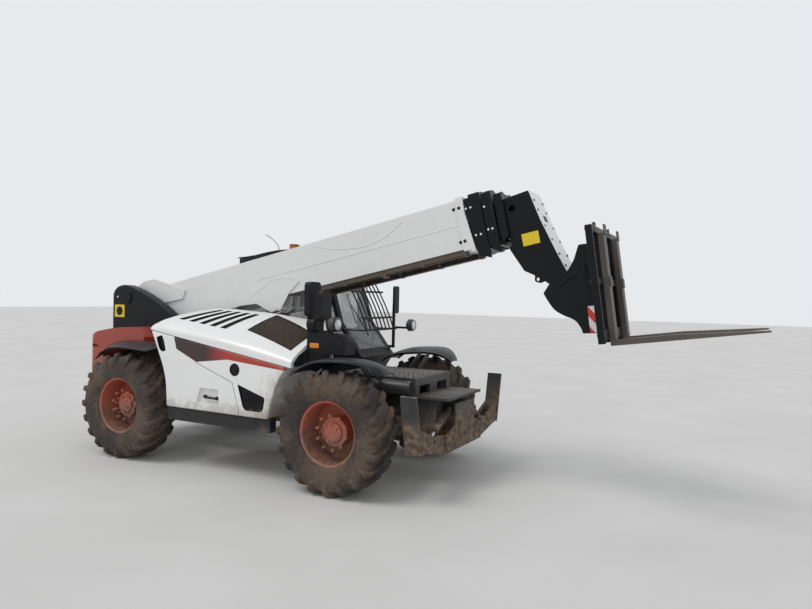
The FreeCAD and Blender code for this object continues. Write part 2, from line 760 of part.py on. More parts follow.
def rounded_box(across_low, up_low, across_high, up_high, radius):
    low, high = as_size(across_low), as_size(across_high)
    foot, head = as_size(up_low), as_size(up_high)
    return [(low + radius, foot), (high - radius, foot, radius * 1.02), (high, foot + radius),
            (high, head - radius, radius * 1.02), (high - radius, head), (low + radius, head, radius * 1.02),
            (low, head - radius), (low, foot + radius, radius * 1.02)]


def roof_lights():
    lights = Piece("lights")
    top = cab_roof_z + roof_thick + gap
    back = arch_back + 200
    base = rounded_box(back, cab_out - 500, back + 210, cab_out - 340, 40)
    lights.slab("XY", [base], top, top + 90)
    lights.done("roof_lights")


# Where the pod's slanting front edge is at a height, with a seating gap.
def pod_edge(z):
    low_x, low_z = arch_front + arch_lip, sill_low + knee
    slope = (arch_front + 200 - low_x) / (split_z(arch_front + 200) - low_z)
    return low_x + (as_size(z) - low_z) * slope + gap


# Mirrors and work lamps. The right ones stand before the bonnet on one bent arm.
def mirrors():
    right = Piece("right_mirror")
    y = -side_y + 200
    stand = hood_front + swing_room
    high = split_z(hood_front) - swing_room
    low = high - 24
    foot = [(pod_edge(low), low), (stand + arm_bar, low), (stand + arm_bar, 1900), (stand, 1900),
            (stand, high), (pod_edge(high), high)]
    right.slab("XZ", [foot], y + 60, y + 60 + arm_bar)
    ahead = stand + 154
    right.slab("YZ", [rounded_box(y, 1690, y + 200, 2040, 45)], stand, stand + 65)
    right.slab("YZ", [rounded_box(y, 1650, y + 180, 1950, 45)], ahead, ahead + 60)
    right.slab("XZ", [box(stand + 20, 1530, ahead + 150, 1555)], y + 60, y + 60 + arm_bar)
    right.slab("XZ", [box(ahead, 1540, ahead + arm_bar, 1900)], y + 60, y + 60 + arm_bar)
    case_back, case_front = stand + 20, stand + 470
    case = [(case_back, 1322), (case_front, 1322), (case_front, 1440, 90), (case_front - 80, 1520),
            (case_back, 1535)]
    right.slab("XZ", [case], y + 40, y + 230)
    lamp = 75
    for back, level, depth in ((stand + 30, 1610, 90), (ahead + 110, 1620, 95)):
        right.slab("YZ", [("hole", y + 75, level, lamp)], back, back + depth)
        right.slab("YZ", [("hole", y + 75, level, lamp - 20)], back - 15, back)
    right.done("right_mirrors")
    left = Piece("left_mirror")
    out = cab_out + gap
    mast = arch_front + 160
    left.slab("YZ", [rounded_box(cab_out + 5, 1690, cab_out + 125, 2040, 30)], mast, mast + arm_bar)
    left.slab("XZ", [box(mast - 260, 1250, mast + arm_bar, 1280)], out, out + arm_bar)
    left.slab("XZ", [box(mast, 1250, mast + arm_bar, 1800)], out, out + arm_bar)
    left.slab("XZ", [box(mast + 20, 1500, mast + 220, 1525)], out, out + arm_bar)
    left.slab("YZ", [("hole", cab_out + 60, 1545, 60)], mast + 200, mast + 280)
    left.done("left_mirror")


def sills():
    sill = Piece("sill")
    depth = 140
    both_sides(sill, "XZ", [box(arch_back - 20, sill_low - depth, arch_front, sill_low - gap)],
               side_y - 120, side_y - 20)
    for x in (arch_back + 300, arch_front - 360):
        arm = box(x, sill_low - 90, x + 60, sill_low - gap)
        both_sides(sill, "XZ", [arm], frame_half + gap, side_y - 120)
    sill.done("side_sills")


def axle(name, x):
    beam = Piece(name)
    half = axle_beam / 2
    beam.slab("YZ", [box(-axle_half, -half, axle_half, half)], -half * 0.8, half * 0.8)
    beam.slab("YZ", [("hole", 0, 0, diff_radius)], -diff_radius * 0.9, diff_radius * 0.9)
    mid = clevis_open / 2
    root = 50
    for sign in (1, -1):
        low, high = sorted((sign * (axle_half - root), sign * axle_half), key=lambda v: v.value)
        beam.slab("XZ", [box(-boss_radius, -mid - clevis_plate, boss_radius, mid + clevis_plate)], low, high)
        for level in (-mid - clevis_plate, mid):
            near, far = sign * (axle_half - root), sign * kingpin_y
            tongue = [(-boss_radius, near), (boss_radius, near), (boss_radius, far, sign * boss_radius * 1.02),
                      (-boss_radius, far)]
            beam.slab("XY", [tongue], level, level + clevis_plate)
    beam.done(name, (x, 0, tyre_radius))


# Four wheels: columns are name, axle x and side.
wheels = (
    ("front_left", axle_x, 1), ("front_right", axle_x, -1),
    ("rear_left", -axle_x, 1), ("rear_right", -axle_x, -1),
)
tyre_sides = 28
lug_count = 14


def polygon(radius):
    turn = 2 * math.pi / tyre_sides
    corners = [(round(math.cos(turn * i), 6), round(math.sin(turn * i), 6)) for i in range(tyre_sides)]
    return [(radius * across, radius * up) for across, up in corners]


# A tyre of flat facets: a bevelled ring, stepped in to the rim, with slanting lugs
# round both shoulders.
def tyre_body(name):
    tyre = Piece(name)
    half = tyre_width / 2
    crown = tyre_radius - tread_depth
    tyre.slab("XZ", [polygon(crown)], -half, half)
    tyre.bevel_ends(shoulder)
    bead = rim_radius + rim_flange + 5
    tyre.cut("XZ", [polygon(rim_radius + rim_slack)], -half, half)
    for radius, inset in ((bead, rim_lip - 20 - gap), (bead + sidewall_dish, as_size(rim_lip))):
        for side in (1, -1):
            low, high = sorted((inset * side, half * side), key=lambda v: v.value)
            tyre.cut("XZ", [polygon(radius)], low, high)
    slant = lug_slant / 2
    width = lug_width / 2
    out, inner = half - shoulder + 10, -15
    lugs = [(-slant - width, out), (width - slant, out), (slant + width, inner), (slant - width, inner)]
    for side, lean in ((1, 0), (-1, 180 / lug_count)):
        outline = [(x, y * side) for x, y in lugs]
        tyre.around(outline, crown - 80, tyre_radius - 5, lean, lug_count)
    return tyre


def wheel_set():
    face = wheel_y - disc_depth - kingpin_y
    for name, x, side in wheels:
        outward = 0 if side > 0 else 180
        hinge = Piece(name + "_knuckle")
        mid = clevis_open / 2 - gap
        hinge.slab("XY", [("hole", 0, 0, boss_radius - 5)], -mid, mid)
        hinge.slab("XZ", [("hole", 0, 0, knuckle_radius)], boss_radius / 3, face - gap)
        hinge.done(name + "_knuckle", (x, kingpin_y * side, tyre_radius), outward, V(0, 0, 1))
        rim = Piece(name + "_rim")
        inner = rim_radius - rim_wall
        lip = rim_radius + rim_flange
        cap = hub_radius - hub_step
        rim.turn([
            (0, -disc_depth), (inner, -disc_depth), (inner + 20, -rim_lip), (lip, -rim_lip),
            (lip, -rim_lip + rim_wall), (rim_radius, -rim_lip + 20), (rim_radius, rim_lip - 20),
            (lip, rim_lip - rim_wall), (lip, rim_lip), (lip - 12, rim_lip), (inner, rim_lip - 15),
            (inner, disc_wall - disc_depth), (hub_radius, disc_wall - disc_depth), (hub_radius, hub_reach),
            (cap, hub_reach), (cap, hub_reach + 20), (0, hub_reach + 20),
        ])
        rim.done(name + "_rim", (x, wheel_y * side, tyre_radius), outward, V(0, 0, 1))
        tyre = tyre_body(name + "_tyre")
        tyre.done(name + "_tyre", (x, wheel_y * side, tyre_radius), outward, V(0, 0, 1))


# The boom's own frame: along the boom from its pivot, and up from the pivot line.
def on_boom(piece, label):
    piece.done(label, (pivot_x, 0, pivot_z), boom_angle * -1)


# The half width, underside and top of one of the nested sections.
def section_size(level):
    step = nest + boom_wall
    return boom_half - step * level, boom_top - boom_depth + step * level, boom_top - step * level


def tube(piece, level, back, front):
    half, low, top = section_size(level)
    inner = box(boom_wall - half, low + boom_wall, half - boom_wall, top - boom_wall)
    piece.slab("YZ", [box(-half, low, half, top), inner], back, front)


# A ring round a section that stands out from its wall.
def ring(piece, level, back, front, rise):
    half, low, top = section_size(level)
    outer = box(-half - rise, low - rise, half + rise, top + rise)
    piece.slab("YZ", [outer, box(-half, low, half, top)], back, front)


# Reinforcing plate over the ram's eye, in the boom's frame.
gusset = ((-352, -368), (-163, -308), (-2, -243), (170, -237), (351, -284), (390, -327), (228, -428))


def boom_sections():
    outer = Piece("boom_outer")
    _, low, _ = section_size(0)
    tube(outer, 0, boom_back, boom_front)
    ear = [
        (-pin_radius * 2, 0), (-pin_radius, -pin_radius * 2), (426, -157), (761, -170), (834, -70),
        (330, 173), (143, 183), (-pin_radius * 2, pin_radius * 2),
    ]
    ear_wall = 20
    both_sides(outer, "XZ", [ear, ("hole", 0, 0, pin_radius)], boom_half, boom_half + ear_wall)
    both_sides(outer, "XZ", [("hole", 0, 0, pin_radius * 1.8), ("hole", 0, 0, pin_radius)],
               boom_half + ear_wall, upright_in - gap)
    outer.slab("XZ", [("hole", 0, 0, pin_radius)], -upright_in - upright_wall, upright_in + upright_wall)
    eye = pin_radius / 2 + 2
    cheek = [(lug_u - 260, low + 2), (lug_u - 70, lug_v - 20, 90), (lug_u + 70, lug_v - 20),
             (lug_u + 120, low + 2)]
    both_sides(outer, "XZ", [cheek, ("hole", lug_u, lug_v, eye)], 60, 85)
    plate = [(lug_u - 545, low + 7)] + [(lug_u + u, v) for u, v in gusset]
    plate += [(lug_u + 70, lug_v - 30), (lug_u - 70, lug_v - 30), (lug_u - 260, low - 20)]
    both_sides(outer, "XZ", [plate], boom_half, boom_half + gusset_wall)
    both_sides(outer, "XZ", [("hole", lug_u, lug_v, eye)], 60, boom_half + gusset_wall + 12)
    ring(outer, 0, boom_front - 80, boom_front, 20)
    on_boom(outer, "boom_outer")
    # columns: name, back end, front end, collar back, collar front, collar rise
    stages = (
        ("boom_stage_2", 50, 180, 60, 180, 55),
        ("boom_stage_3", 150, 290, 225, 290, 75),
        ("boom_stage_4", 250, 380, 340, 380, 70),
    )
    for level, (name, back, front, ring_back, ring_front, rise) in enumerate(stages, 1):
        stage = Piece(name)
        tube(stage, level, boom_back + back, boom_front + front)
        # The wear pads reach to a seating gap from the next section's wall.
        ring(stage, level, boom_back + back, boom_back + back + shoe_length, nest - gap)
        ring(stage, level, boom_front + ring_back, boom_front + ring_front, rise)
        on_boom(stage, name)


# The head is a welded box, open below, with holes through its side plates.
def boom_head():
    head = Piece("head")
    back = boom_front + 380 + gap
    side = [
        (back, -40), (boom_front + 644, -30), (boom_front + 722, -104), (tilt_u + 70, tilt_v + 15),
        (tilt_u + 55, tilt_v - 30, -75), (tilt_u - 60, tilt_v - 40), (boom_front + 620, -925),
        (boom_front + 550, -912), (boom_front + 530, -860), (boom_front + 470, -780), (back, -520),
    ]
    pin = ("hole", tilt_u, tilt_v, pin_radius + gap)
    holes = [("hole", boom_front + 452, -150, 32), ("hole", tilt_u - 215, tilt_v + 55, 18)]
    head.slab("XZ", [side, pin] + holes, -head_half, head_half)
    room = [(back + 25, -160), (boom_front + 600, -160), (boom_front + 640, -200),
            (tilt_u - 130, tilt_v + 170), (tilt_u - 130, tilt_v - 60), (boom_front + 500, tilt_v - 60),
            (boom_front + 420, -700), (back + 25, -480)]
    head.cut("XZ", [room], head_plate - head_half, head_half - head_plate)
    on_boom(head, "boom_head")


def length_of(across, up):
    return Size("hypot(%s; %s)" % (across.text, up.text), math.hypot(across.value, up.value))


def slope_of(across, up):
    return Size("atan2(%s; %s)" % (up.text, across.text), math.degrees(math.atan2(up.value, across.value)))


def lift_cylinder():
    across = pivot_x + lug_u * cosine(boom_angle) - lug_v * sine(boom_angle) - lift_x
    up = pivot_z + lug_u * sine(boom_angle) + lug_v * cosine(boom_angle) - lift_z
    run = length_of(across, up)
    lean = slope_of(across, up) * -1
    barrel = Piece("lift_barrel")
    half = barrel_radius
    eye = pin_radius / 2
    barrel.slab("XZ", [("hole", 0, 0, 70), ("hole", 0, 0, eye)], -half - 10, half + 10)
    barrel.slab("XZ", [("hole", 0, 0, eye)], -half - 44, half + 44)
    barrel.slab("YZ", [("hole", 0, 0, half)], 50, barrel_length)
    barrel.slab("YZ", [("hole", 0, 0, half + 10)], barrel_length - 70, barrel_length)
    barrel.cut("YZ", [("hole", 0, 0, rod_radius + gap)], 90, barrel_length + 10)
    barrel.done("lift_barrel", (lift_x, 0, lift_z), lean)
    rod = Piece("lift_rod")
    rod.slab("YZ", [("hole", 0, 0, rod_radius)], 420, run - 40)
    rod.slab("XZ", [("hole", run, 0, 55), ("hole", run, 0, eye + 1)], -38, 38)
    rod.done("lift_rod", (lift_x, 0, lift_z), lean)


# The carriage's own frame: forward and up from the tilt pin, leaning back.
def on_carriage(piece, label):
    piece.done(label, (carriage_x, 0, carriage_z), tilt_angle * -1)


def carriage():
    carrier = Piece("carrier")
    seat = fork_plate_back - gap
    plate = [
        (-75, 60), (-88, -129), (0, -291), (205, -518), (335, -530), (seat, -300), (seat, 237), (270, 251),
        (240, 180), (215, 114), (60, 75),
    ]
    hole = ("hole", 0, 0, pin_radius)
    slot = [(222, 35, 18.4), (258, 35), (258, 85, 18.4), (222, 85)]
    low = head_half + swing_room
    both_sides(carrier, "XZ", [plate, hole, slot], low, low + carrier_wall)
    carrier.slab("XZ", [("hole", 0, 0, pin_radius)], -low - carrier_wall, low + carrier_wall)
    for foot, head in ((-520, -440), (120, 200)):
        carrier.slab("XZ", [box(240, foot, seat, head)], -low, low)
    on_carriage(carrier, "tool_carrier")
    frame = Piece("fork_frame")
    front = fork_plate_back + fork_post
    face = front - fork_post * 0.4
    for post_y in (carriage_half - post_width, post_in):
        for sign in (1, -1):
            low, high = sorted((sign * post_y, sign * (post_y + post_width)), key=lambda v: v.value)
            frame.slab("XZ", [box(fork_plate_back, fork_low + 30, face, fork_top)], low, high)
    for foot, head in ((fork_top - 60, fork_top), (-120, -60), (fork_low + 60, fork_low + 150)):
        frame.slab("XZ", [box(fork_plate_back, foot, face, head)], -carriage_half, carriage_half)
    on_carriage(frame, "fork_frame")
    tip = fork_back + fork_length
    for name, side in (("fork_left", 1), ("fork_right", -1)):
        fork = Piece(name)
        shape = [
            (face + gap, fork_top - 60), (front + 10, fork_top - 60), (front + 10, fork_low + fork_thick),
            (front + 500, fork_low + fork_thick), (tip, fork_low + 12), (tip, fork_low),
            (face + gap, fork_low),
        ]
        low, high = side * fork_y - fork_width / 2, side * fork_y + fork_width / 2
        fork.slab("XZ", [shape], low, high)
        for foot in (fork_top - 75, -140):
            hook = box(front + 10 - gap, foot, front + 22, foot + 90)
            fork.slab("XZ", [hook], low + 20, high - 20)
        on_carriage(fork, name)


def stabiliser_beam():
    beam = Piece("stabiliser_beam")
    front = leg_back + leg_thick
    back = nose_front + gap
    half = leg_pivot_y - 60
    wall = 15
    beam.slab("YZ", [box(-half, frame_low + 20, half, frame_high)], back, leg_back - wall - 5)
    low, top = leg_pivot_z - 90, ram_z + 50
    cheek = [
        (-leg_pivot_y - 60, low), (leg_pivot_y + 60, low), (leg_pivot_y + 60, leg_pivot_z + 90),
        (ram_y + 60, leg_pivot_z + 160), (ram_y + 60, top), (-ram_y - 60, top),
        (-ram_y - 60, leg_pivot_z + 160), (-leg_pivot_y - 60, leg_pivot_z + 90),
    ]
    holes = [("hole", side * leg_pivot_y, leg_pivot_z, leg_pin + gap) for side in (1, -1)]
    holes += [("hole", side * ram_y, ram_z, ram_pin + gap) for side in (1, -1)]
    for x in (leg_back - wall - 5, front + 5):
        beam.slab("YZ", [cheek] + holes, x, x + wall)
    beam.slab("YZ", [box(-ram_y + 50, low, ram_y - 50, top)], leg_back - 5, front + 5)
    beam.slab("YZ", [box(-nose_half, frame_high - 5, nose_half, frame_high + 20)], back, front + 20)
    beam.done("stabiliser_beam")


def stabiliser(name, side):
    leg = Piece("stabiliser_leg_" + name)
    arm = [
        (side * -55, -55), (side * 120, -80), (side * 600, 10), (side * 655, 250), (side * 320, 120),
        (side * -40, 80),
    ]
    eyes = [("hole", 0, 0, leg_pin), ("hole", side * lug_y, lug_z, ram_pin)]
    for low in (0, leg_thick - leg_web):
        leg.slab("YZ", [arm] + eyes, low, low + leg_web)
    leg.slab("YZ", [("hole", 0, 0, leg_pin)], -20, leg_web)
    leg.slab("YZ", [("hole", 0, 0, leg_pin)], leg_thick - leg_web, leg_thick + 20)
    pad = [(side * 585, 5), (side * 620, -5), (side * 745, 535), (side * 710, 545)]
    leg.slab("YZ", [pad], -10, leg_thick + 10)
    block = [(side * 500, 0), (side * 600, 10), (side * 655, 250), (side * 560, 200)]
    leg.slab("YZ", [block], leg_web - 5, leg_thick - leg_web + 5)
    leg.done("stabiliser_leg_" + name, (leg_back, leg_pivot_y * side, leg_pivot_z))
    across = leg_pivot_y + lug_y - ram_y
    down = ram_z - leg_pivot_z - lug_z
    reach = length_of(across, down)
    slope = slope_of(across, down) * -side
    at = (leg_back + leg_thick / 2, ram_y * side, ram_z)
    half = leg_thick / 2

    def along(low, high):
        return sorted((side * as_size(low), side * as_size(high)), key=lambda v: v.value)

    barrel = Piece("stabiliser_barrel_" + name)
    barrel.slab("YZ", [("hole", 0, 0, ram_barrel - 3)], -30, 30)
    barrel.slab("YZ", [("hole", 0, 0, ram_pin)], -half - 20, half + 20)
    barrel.slab("XZ", [("hole", 0, 0, ram_barrel)], *along(20, reach - 150))
    barrel.cut("XZ", [("hole", 0, 0, ram_rod + gap)], *along(60, reach - 140))
    barrel.done("stabiliser_barrel_" + name, at, slope, V(1, 0, 0))
    rod = Piece("stabiliser_rod_" + name)
    rod.slab("XZ", [("hole", 0, 0, ram_rod)], *along(80, reach - 20))
    rod.slab("YZ", [("hole", side * reach, 0, 28)], -25, 25)
    rod.done("stabiliser_rod_" + name, at, slope, V(1, 0, 0))


def stabilisers():
    stabiliser_beam()
    stabiliser("left", 1)
    stabiliser("right", -1)


def main():
    chassis()
    rear_uprights()
    counterweight()
    front_deck()
    fenders()
    engine_pod()
    bonnet()
    cab()
    cab_glass()
    cab_guard()
    driver_place()
    roof_lights()
    mirrors()
    sills()
    axle("front_axle", axle_x)
    axle("rear_axle", -axle_x)
    wheel_set()
    boom_sections()
    boom_head()
    lift_cylinder()
    carriage()
    stabilisers()
    doc.recompute()


def check_and_write():
    failed = [thing.Name for thing in doc.Objects if {"Invalid", "Error"} & set(thing.State)]
    if failed:
        raise RuntimeError("failed: %s" % failed)
    os.makedirs("parts", exist_ok=True)
    for node in nodes:
        shape = node.Shape
        if shape.isNull() or not shape.isValid():
            raise RuntimeError("bad shape " + node.Label)
        shape.exportStep("parts/%s.step" % node.Label)
        print(node.Label, len(shape.Solids), round(shape.Volume / 1e6, 1))


main()
check_and_write()
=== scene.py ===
import bpy
import bmesh
from math import atan2, cos, degrees, exp, pi, radians, sin
from types import SimpleNamespace
from mathutils import Matrix, Vector


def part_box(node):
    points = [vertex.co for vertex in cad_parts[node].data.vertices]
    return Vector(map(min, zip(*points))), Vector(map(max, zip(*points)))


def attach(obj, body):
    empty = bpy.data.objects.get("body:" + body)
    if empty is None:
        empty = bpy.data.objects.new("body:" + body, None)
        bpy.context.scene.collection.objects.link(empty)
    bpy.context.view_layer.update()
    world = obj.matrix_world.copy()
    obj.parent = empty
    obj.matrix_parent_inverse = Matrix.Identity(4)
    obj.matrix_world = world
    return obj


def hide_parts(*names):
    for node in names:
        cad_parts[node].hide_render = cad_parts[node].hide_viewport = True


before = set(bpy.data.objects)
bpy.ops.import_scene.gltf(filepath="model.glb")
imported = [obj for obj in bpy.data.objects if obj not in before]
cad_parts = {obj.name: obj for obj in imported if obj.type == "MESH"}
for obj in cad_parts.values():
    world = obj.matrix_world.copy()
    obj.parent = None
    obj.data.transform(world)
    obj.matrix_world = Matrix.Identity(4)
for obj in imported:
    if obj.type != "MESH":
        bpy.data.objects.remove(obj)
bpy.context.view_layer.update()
print("stage: frame loaded")

# The frame's origin is under the middle of the whole machine; the pieces below are
# written from the middle of the wheelbase, this much further back.
middleX = 1.3230137


# A flat working plane: points are (across, up) on it and a distance out of it.
class Plane:
    def __init__(self, origin, across, up, out):
        self.origin = Vector(origin)
        self.across = Vector(across)
        self.up = Vector(up)
        self.out = Vector(out)

    def at(self, across, up, out=0.0):
        return self.origin + self.across * across + self.up * up + self.out * out

    # Places on the plane; the depth is given for all of them, or comes last in each.
    def line(self, spots, *depth):
        return [self.at(*spot, *depth) for spot in spots]


def tilted(x, z, angle):
    turn = radians(angle)
    return Plane((x - middleX, 0, z), (cos(turn), 0, sin(turn)), (-sin(turn), 0, cos(turn)), (0, 1, 0))


boomSizes = SimpleNamespace(pivotX=-2.15, pivotZ=1.82, angle=12.6, mouth=4.654)
toolSizes = SimpleNamespace(pivotX=3.3644438, pivotZ=2.1150443, angle=8.1)


# A plane and its mirror image, for what sits on both sides of the machine.
def bothWays(plane):
    return plane, Plane(plane.origin, plane.across, plane.up, plane.out * -1)


side = Plane((-middleX, 0, 0), (1, 0, 0), (0, 0, 1), (0, 1, 0))
front = Plane((-middleX, 0, 0), (0, 1, 0), (0, 0, 1), (1, 0, 0))
top = Plane((-middleX, 0, 0), (1, 0, 0), (0, 1, 0), (0, 0, 1))
boomSide = tilted(boomSizes.pivotX, boomSizes.pivotZ, boomSizes.angle)
toolSide = tilted(toolSizes.pivotX, toolSizes.pivotZ, toolSizes.angle)


# Adds a node to a tree: its settings, then what is plugged into its sockets or set on them.
def addNode(tree, kind, settings=None, values=None):
    node = tree.nodes.new(kind)
    for name, value in (settings or {}).items():
        setattr(node, name, value)
    for name, value in (values or {}).items():
        socket = node.inputs[name]
        if isinstance(value, bpy.types.NodeSocket):
            tree.links.new(value, socket)
        elif socket.type == "RGBA" and len(value) == 3:
            socket.default_value = (*value, 1.0)
        else:
            socket.default_value = value
    return node.outputs


# A shader socket that takes part in sums.
class Wire:
    def __init__(self, paint, socket):
        self.paint = paint
        self.socket = socket

    def math(self, operation, first, second=0.0):
        return self.paint.add("ShaderNodeMath", {"operation": operation}, {0: first, 1: second})

    def __add__(self, other):
        return self.math("ADD", self, other)

    def __sub__(self, other):
        return self.math("SUBTRACT", self, other)

    def __rsub__(self, other):
        return self.math("SUBTRACT", other, self)

    def __mul__(self, other):
        return self.math("MULTIPLY", self, other)

    __radd__ = __add__
    __rmul__ = __mul__

    def least(self, other):
        return self.math("MINIMUM", self, other)

    def most(self, other):
        return self.math("MAXIMUM", self, other)

    def wave(self, scale):
        return self.math("SINE", self * scale)

    # 0 below low, 1 above high, with a soft step between.
    def fade(self, low, high):
        return self.paint.add("ShaderNodeMapRange", {"interpolation_type": "SMOOTHSTEP"},
                              {"Value": self, "From Min": low, "From Max": high})


# A material being mixed: every node goes through add, which gives one of its outputs.
class Paint:
    def __init__(self, name):
        self.material = bpy.data.materials.new(name)
        self.material.use_nodes = True
        self.tree = self.material.node_tree
        self.tree.nodes.clear()
        coordinates = addNode(self.tree, "ShaderNodeTexCoord")
        self.place = Wire(self, coordinates["Object"])
        parts = addNode(self.tree, "ShaderNodeSeparateXYZ", {}, {0: coordinates["Object"]})
        self.x, self.y, self.z = (Wire(self, parts[axis]) for axis in range(3))
        self.upward = self.add("ShaderNodeSeparateXYZ", {}, {0: coordinates["Normal"]}, 2)

    def add(self, kind, settings, values, output=0):
        sockets = {name: getattr(value, "socket", value) for name, value in values.items()}
        return Wire(self, addNode(self.tree, kind, settings, sockets)[output])

    def noise(self, scale, detail=4.0, stretch=(1, 1, 1)):
        spread = self.add("ShaderNodeMapping", {}, {"Vector": self.place, "Scale": stretch})
        return self.add("ShaderNodeTexNoise", {}, {"Vector": spread, "Scale": scale, "Detail": detail})

    def cells(self, scale):
        return self.add("ShaderNodeTexVoronoi", {}, {"Vector": self.place, "Scale": scale}, "Distance")

    def mix(self, factor, first, second):
        return self.add("ShaderNodeMix", {"data_type": "RGBA"}, {0: factor, 6: first, 7: second}, 2)

    def bump(self, height, distance):
        return self.add("ShaderNodeBump", {}, {"Height": height, "Distance": distance, "Strength": 1.0})

    def finish(self, values):
        shader = self.add("ShaderNodeBsdfPrincipled", {}, values)
        addNode(self.tree, "ShaderNodeOutputMaterial", {}, {0: shader.socket})
        return self.material


mudColours = {"wet": (0.072, 0.045, 0.030), "dry": (0.20, 0.142, 0.098), "dust": (0.27, 0.222, 0.170)}


# Layers mud and dust over a colour: heavy below, thin above, splashed by noise.
def addMud(paint, colour, roughness, settings):
    broad = paint.noise(2.6, 5.0)
    fine = paint.noise(19.0, 6.0)
    grit = paint.noise(120.0, 3.0)
    heightHere = paint.z + (broad - 0.5) * settings["ragged"]
    low = 1.0 - heightHere.fade(settings["mudLow"], settings["mudHigh"])
    caked = (low + (fine - 0.5) * 0.9 + (broad - 0.5) * 0.4).fade(0.42, 0.66)
    specks = (fine * 0.6 + grit * 0.4 + low * 0.22).fade(0.60, 0.70) * (low + settings["specks"])
    film = (low * 0.55 + (broad - 0.45) * 0.5 + settings["film"]).fade(0.0, 0.9)
    lying = paint.upward.fade(0.35, 0.95) * (fine * 0.7 + broad * 0.6).fade(0.45, 0.85) * settings["lying"]
    dusty = film.most(lying) * settings["dusty"]
    mudColour = paint.mix(fine.fade(0.35, 0.65), mudColours["wet"], mudColours["dry"])
    covered = paint.mix(dusty, colour, mudColours["dust"])
    amount = caked.most(specks.least(1.0)) * settings["mud"]
    finalColour = paint.mix(amount, covered, mudColour)
    finalRough = roughness + (0.85 - roughness) * dusty.most(amount)
    height = amount * (0.6 + fine * 0.8) + grit * 0.12
    return finalColour, finalRough, height, amount


# Plain finishes. Columns: slot, colour, roughness, the heights below which mud is thick and above
# which there is none, film of dust, how dusty it is, dust lying on top, amount of mud, shine.
finishColumns = ("slot", "colour", "rough", "mudLow", "mudHigh", "film", "dusty", "lying", "mud", "shine")
finishRows = {
    "frameBlack": ("frame_black", (0.014, 0.015, 0.018), 0.45, 0.40, 0.95, 0.03, 0.45, 0.5, 0.9, 0.22),
    "sillBlack": ("frame_black", (0.016, 0.018, 0.022), 0.42, 0.42, 0.60, 0.12, 0.45, 0.5, 0.45, 0.22),
    "uprightBlack": ("frame_black", (0.009, 0.010, 0.013), 0.40, 0.3, 0.9, 0.0, 0.25, 0.15, 0.9, 0.18),
    "headBlack": ("frame_black", (0.007, 0.008, 0.010), 0.36, -0.5, 0.2, 0.0, 0.2, 0.1, 0.9, 0.16),
    "deckGrey": ("frame_black", (0.030, 0.032, 0.036), 0.36, 0.5, 1.0, 0.10, 0.65, 0.85, 0.4, 0.5),
    "fenderBlack": ("plastic_dark", (0.016, 0.018, 0.023), 0.38, 0.8, 1.15, 0.06, 0.4, 0.35, 0.6, 0.3),
    "axleMud": ("frame_black", (0.05, 0.045, 0.04), 0.6, 0.6, 1.1, 0.4, 0.8, 0.5, 0.9, 0.5),
    "paintRed": ("paint_red", (0.34, 0.034, 0.018), 0.36, 0.8, 1.3, 0.12, 0.45, 0.5, 0.75, 0.5),
    "rimRed": ("paint_red", (0.50, 0.085, 0.045), 0.5, 0.25, 0.95, 0.3, 0.5, 0.5, 0.62, 0.5),
    "boomGrey": ("boom_grey", (0.74, 0.74, 0.73), 0.34, 0.2, 0.9, 0.0, 0.15, 0.25, 0.5, 0.5),
    "boomInner": ("boom_grey", (0.30, 0.30, 0.295), 0.3, 0.2, 0.9, 0.05, 0.25, 0.5, 0.5, 0.5),
    "panelWhite": ("panel_white", (0.80, 0.80, 0.785), 0.28, 0.55, 0.95, 0.0, 0.3, 0.05, 0.3, 0.5),
    "stabiliserMud": ("frame_black", (0.022, 0.025, 0.031), 0.5, 0.45, 0.95, 0.15, 0.6, 0.9, 0.9, 0.3),
    "plasticDark": ("plastic_dark", (0.010, 0.010, 0.012), 0.45, 0.5, 0.9, 0.0, 0.25, 0.15, 0.4, 0.2),
    "mirrorSilver": ("chrome", (0.72, 0.74, 0.76), 0.05, 0.3, 0.9, 0.0, 0.1, 0.5, 0.3, 0.5),
    "engineGrey": ("engine_grey", (0.16, 0.16, 0.165), 0.5, 0.5, 0.9, 0.12, 0.6, 0.5, 0.9, 0.5),
    "chromeRod": ("chrome", (0.75, 0.75, 0.77), 0.12, 0.3, 0.8, 0.0, 0.15, 0.5, 0.4, 0.5),
    "forkIron": ("iron_worn", (0.10, 0.085, 0.075), 0.48, 0.3, 1.0, 0.25, 0.4, 0.5, 0.5, 0.5),
    "labelYellow": ("plastic_dark", (0.75, 0.56, 0.02), 0.4, 0.3, 0.8, 0.05, 0.3, 0.5, 0.5, 0.5),
    "labelWhite": ("plastic_dark", (0.75, 0.75, 0.73), 0.4, 0.3, 0.9, 0.05, 0.3, 0.5, 0.5, 0.5),
    "railBrown": ("frame_black", (0.085, 0.062, 0.048), 0.55, 0.3, 0.9, 0.2, 0.4, 0.5, 0.9, 0.5),
}
usualFinish = {"ragged": 0.5, "specks": 0.12, "mottle": 0.93, "coat": 0.0, "metal": 0.0}
ownFinish = {
    "paintRed": {"coat": 0.3}, "rimRed": {"ragged": 1.1}, "boomGrey": {"coat": 0.25, "mottle": 0.97},
    "boomInner": {"metal": 0.2}, "panelWhite": {"coat": 0.4, "specks": 0.01, "mottle": 0.98},
    "stabiliserMud": {"ragged": 0.9}, "mirrorSilver": {"metal": 1.0}, "engineGrey": {"metal": 0.5},
    "chromeRod": {"metal": 1.0}, "forkIron": {"metal": 0.6},
}
finishes = {name: {**usualFinish, **dict(zip(finishColumns, row)), **ownFinish.get(name, {})}
            for name, row in finishRows.items()}
slotOf = {name: settings["slot"] for name, settings in finishes.items()}
slotOf.update({
    "tyreRubber": "rubber", "tapeRedWhite": "plastic_dark", "hoodSide": "panel_white", "cabGlass": "glass",
    "grilleBrown": "plastic_dark", "lampLens": "glass", "amberLens": "plastic_dark",
    "redLens": "plastic_dark", "seatCloth": "seat_fabric", "boomStage": "boom_grey",
})


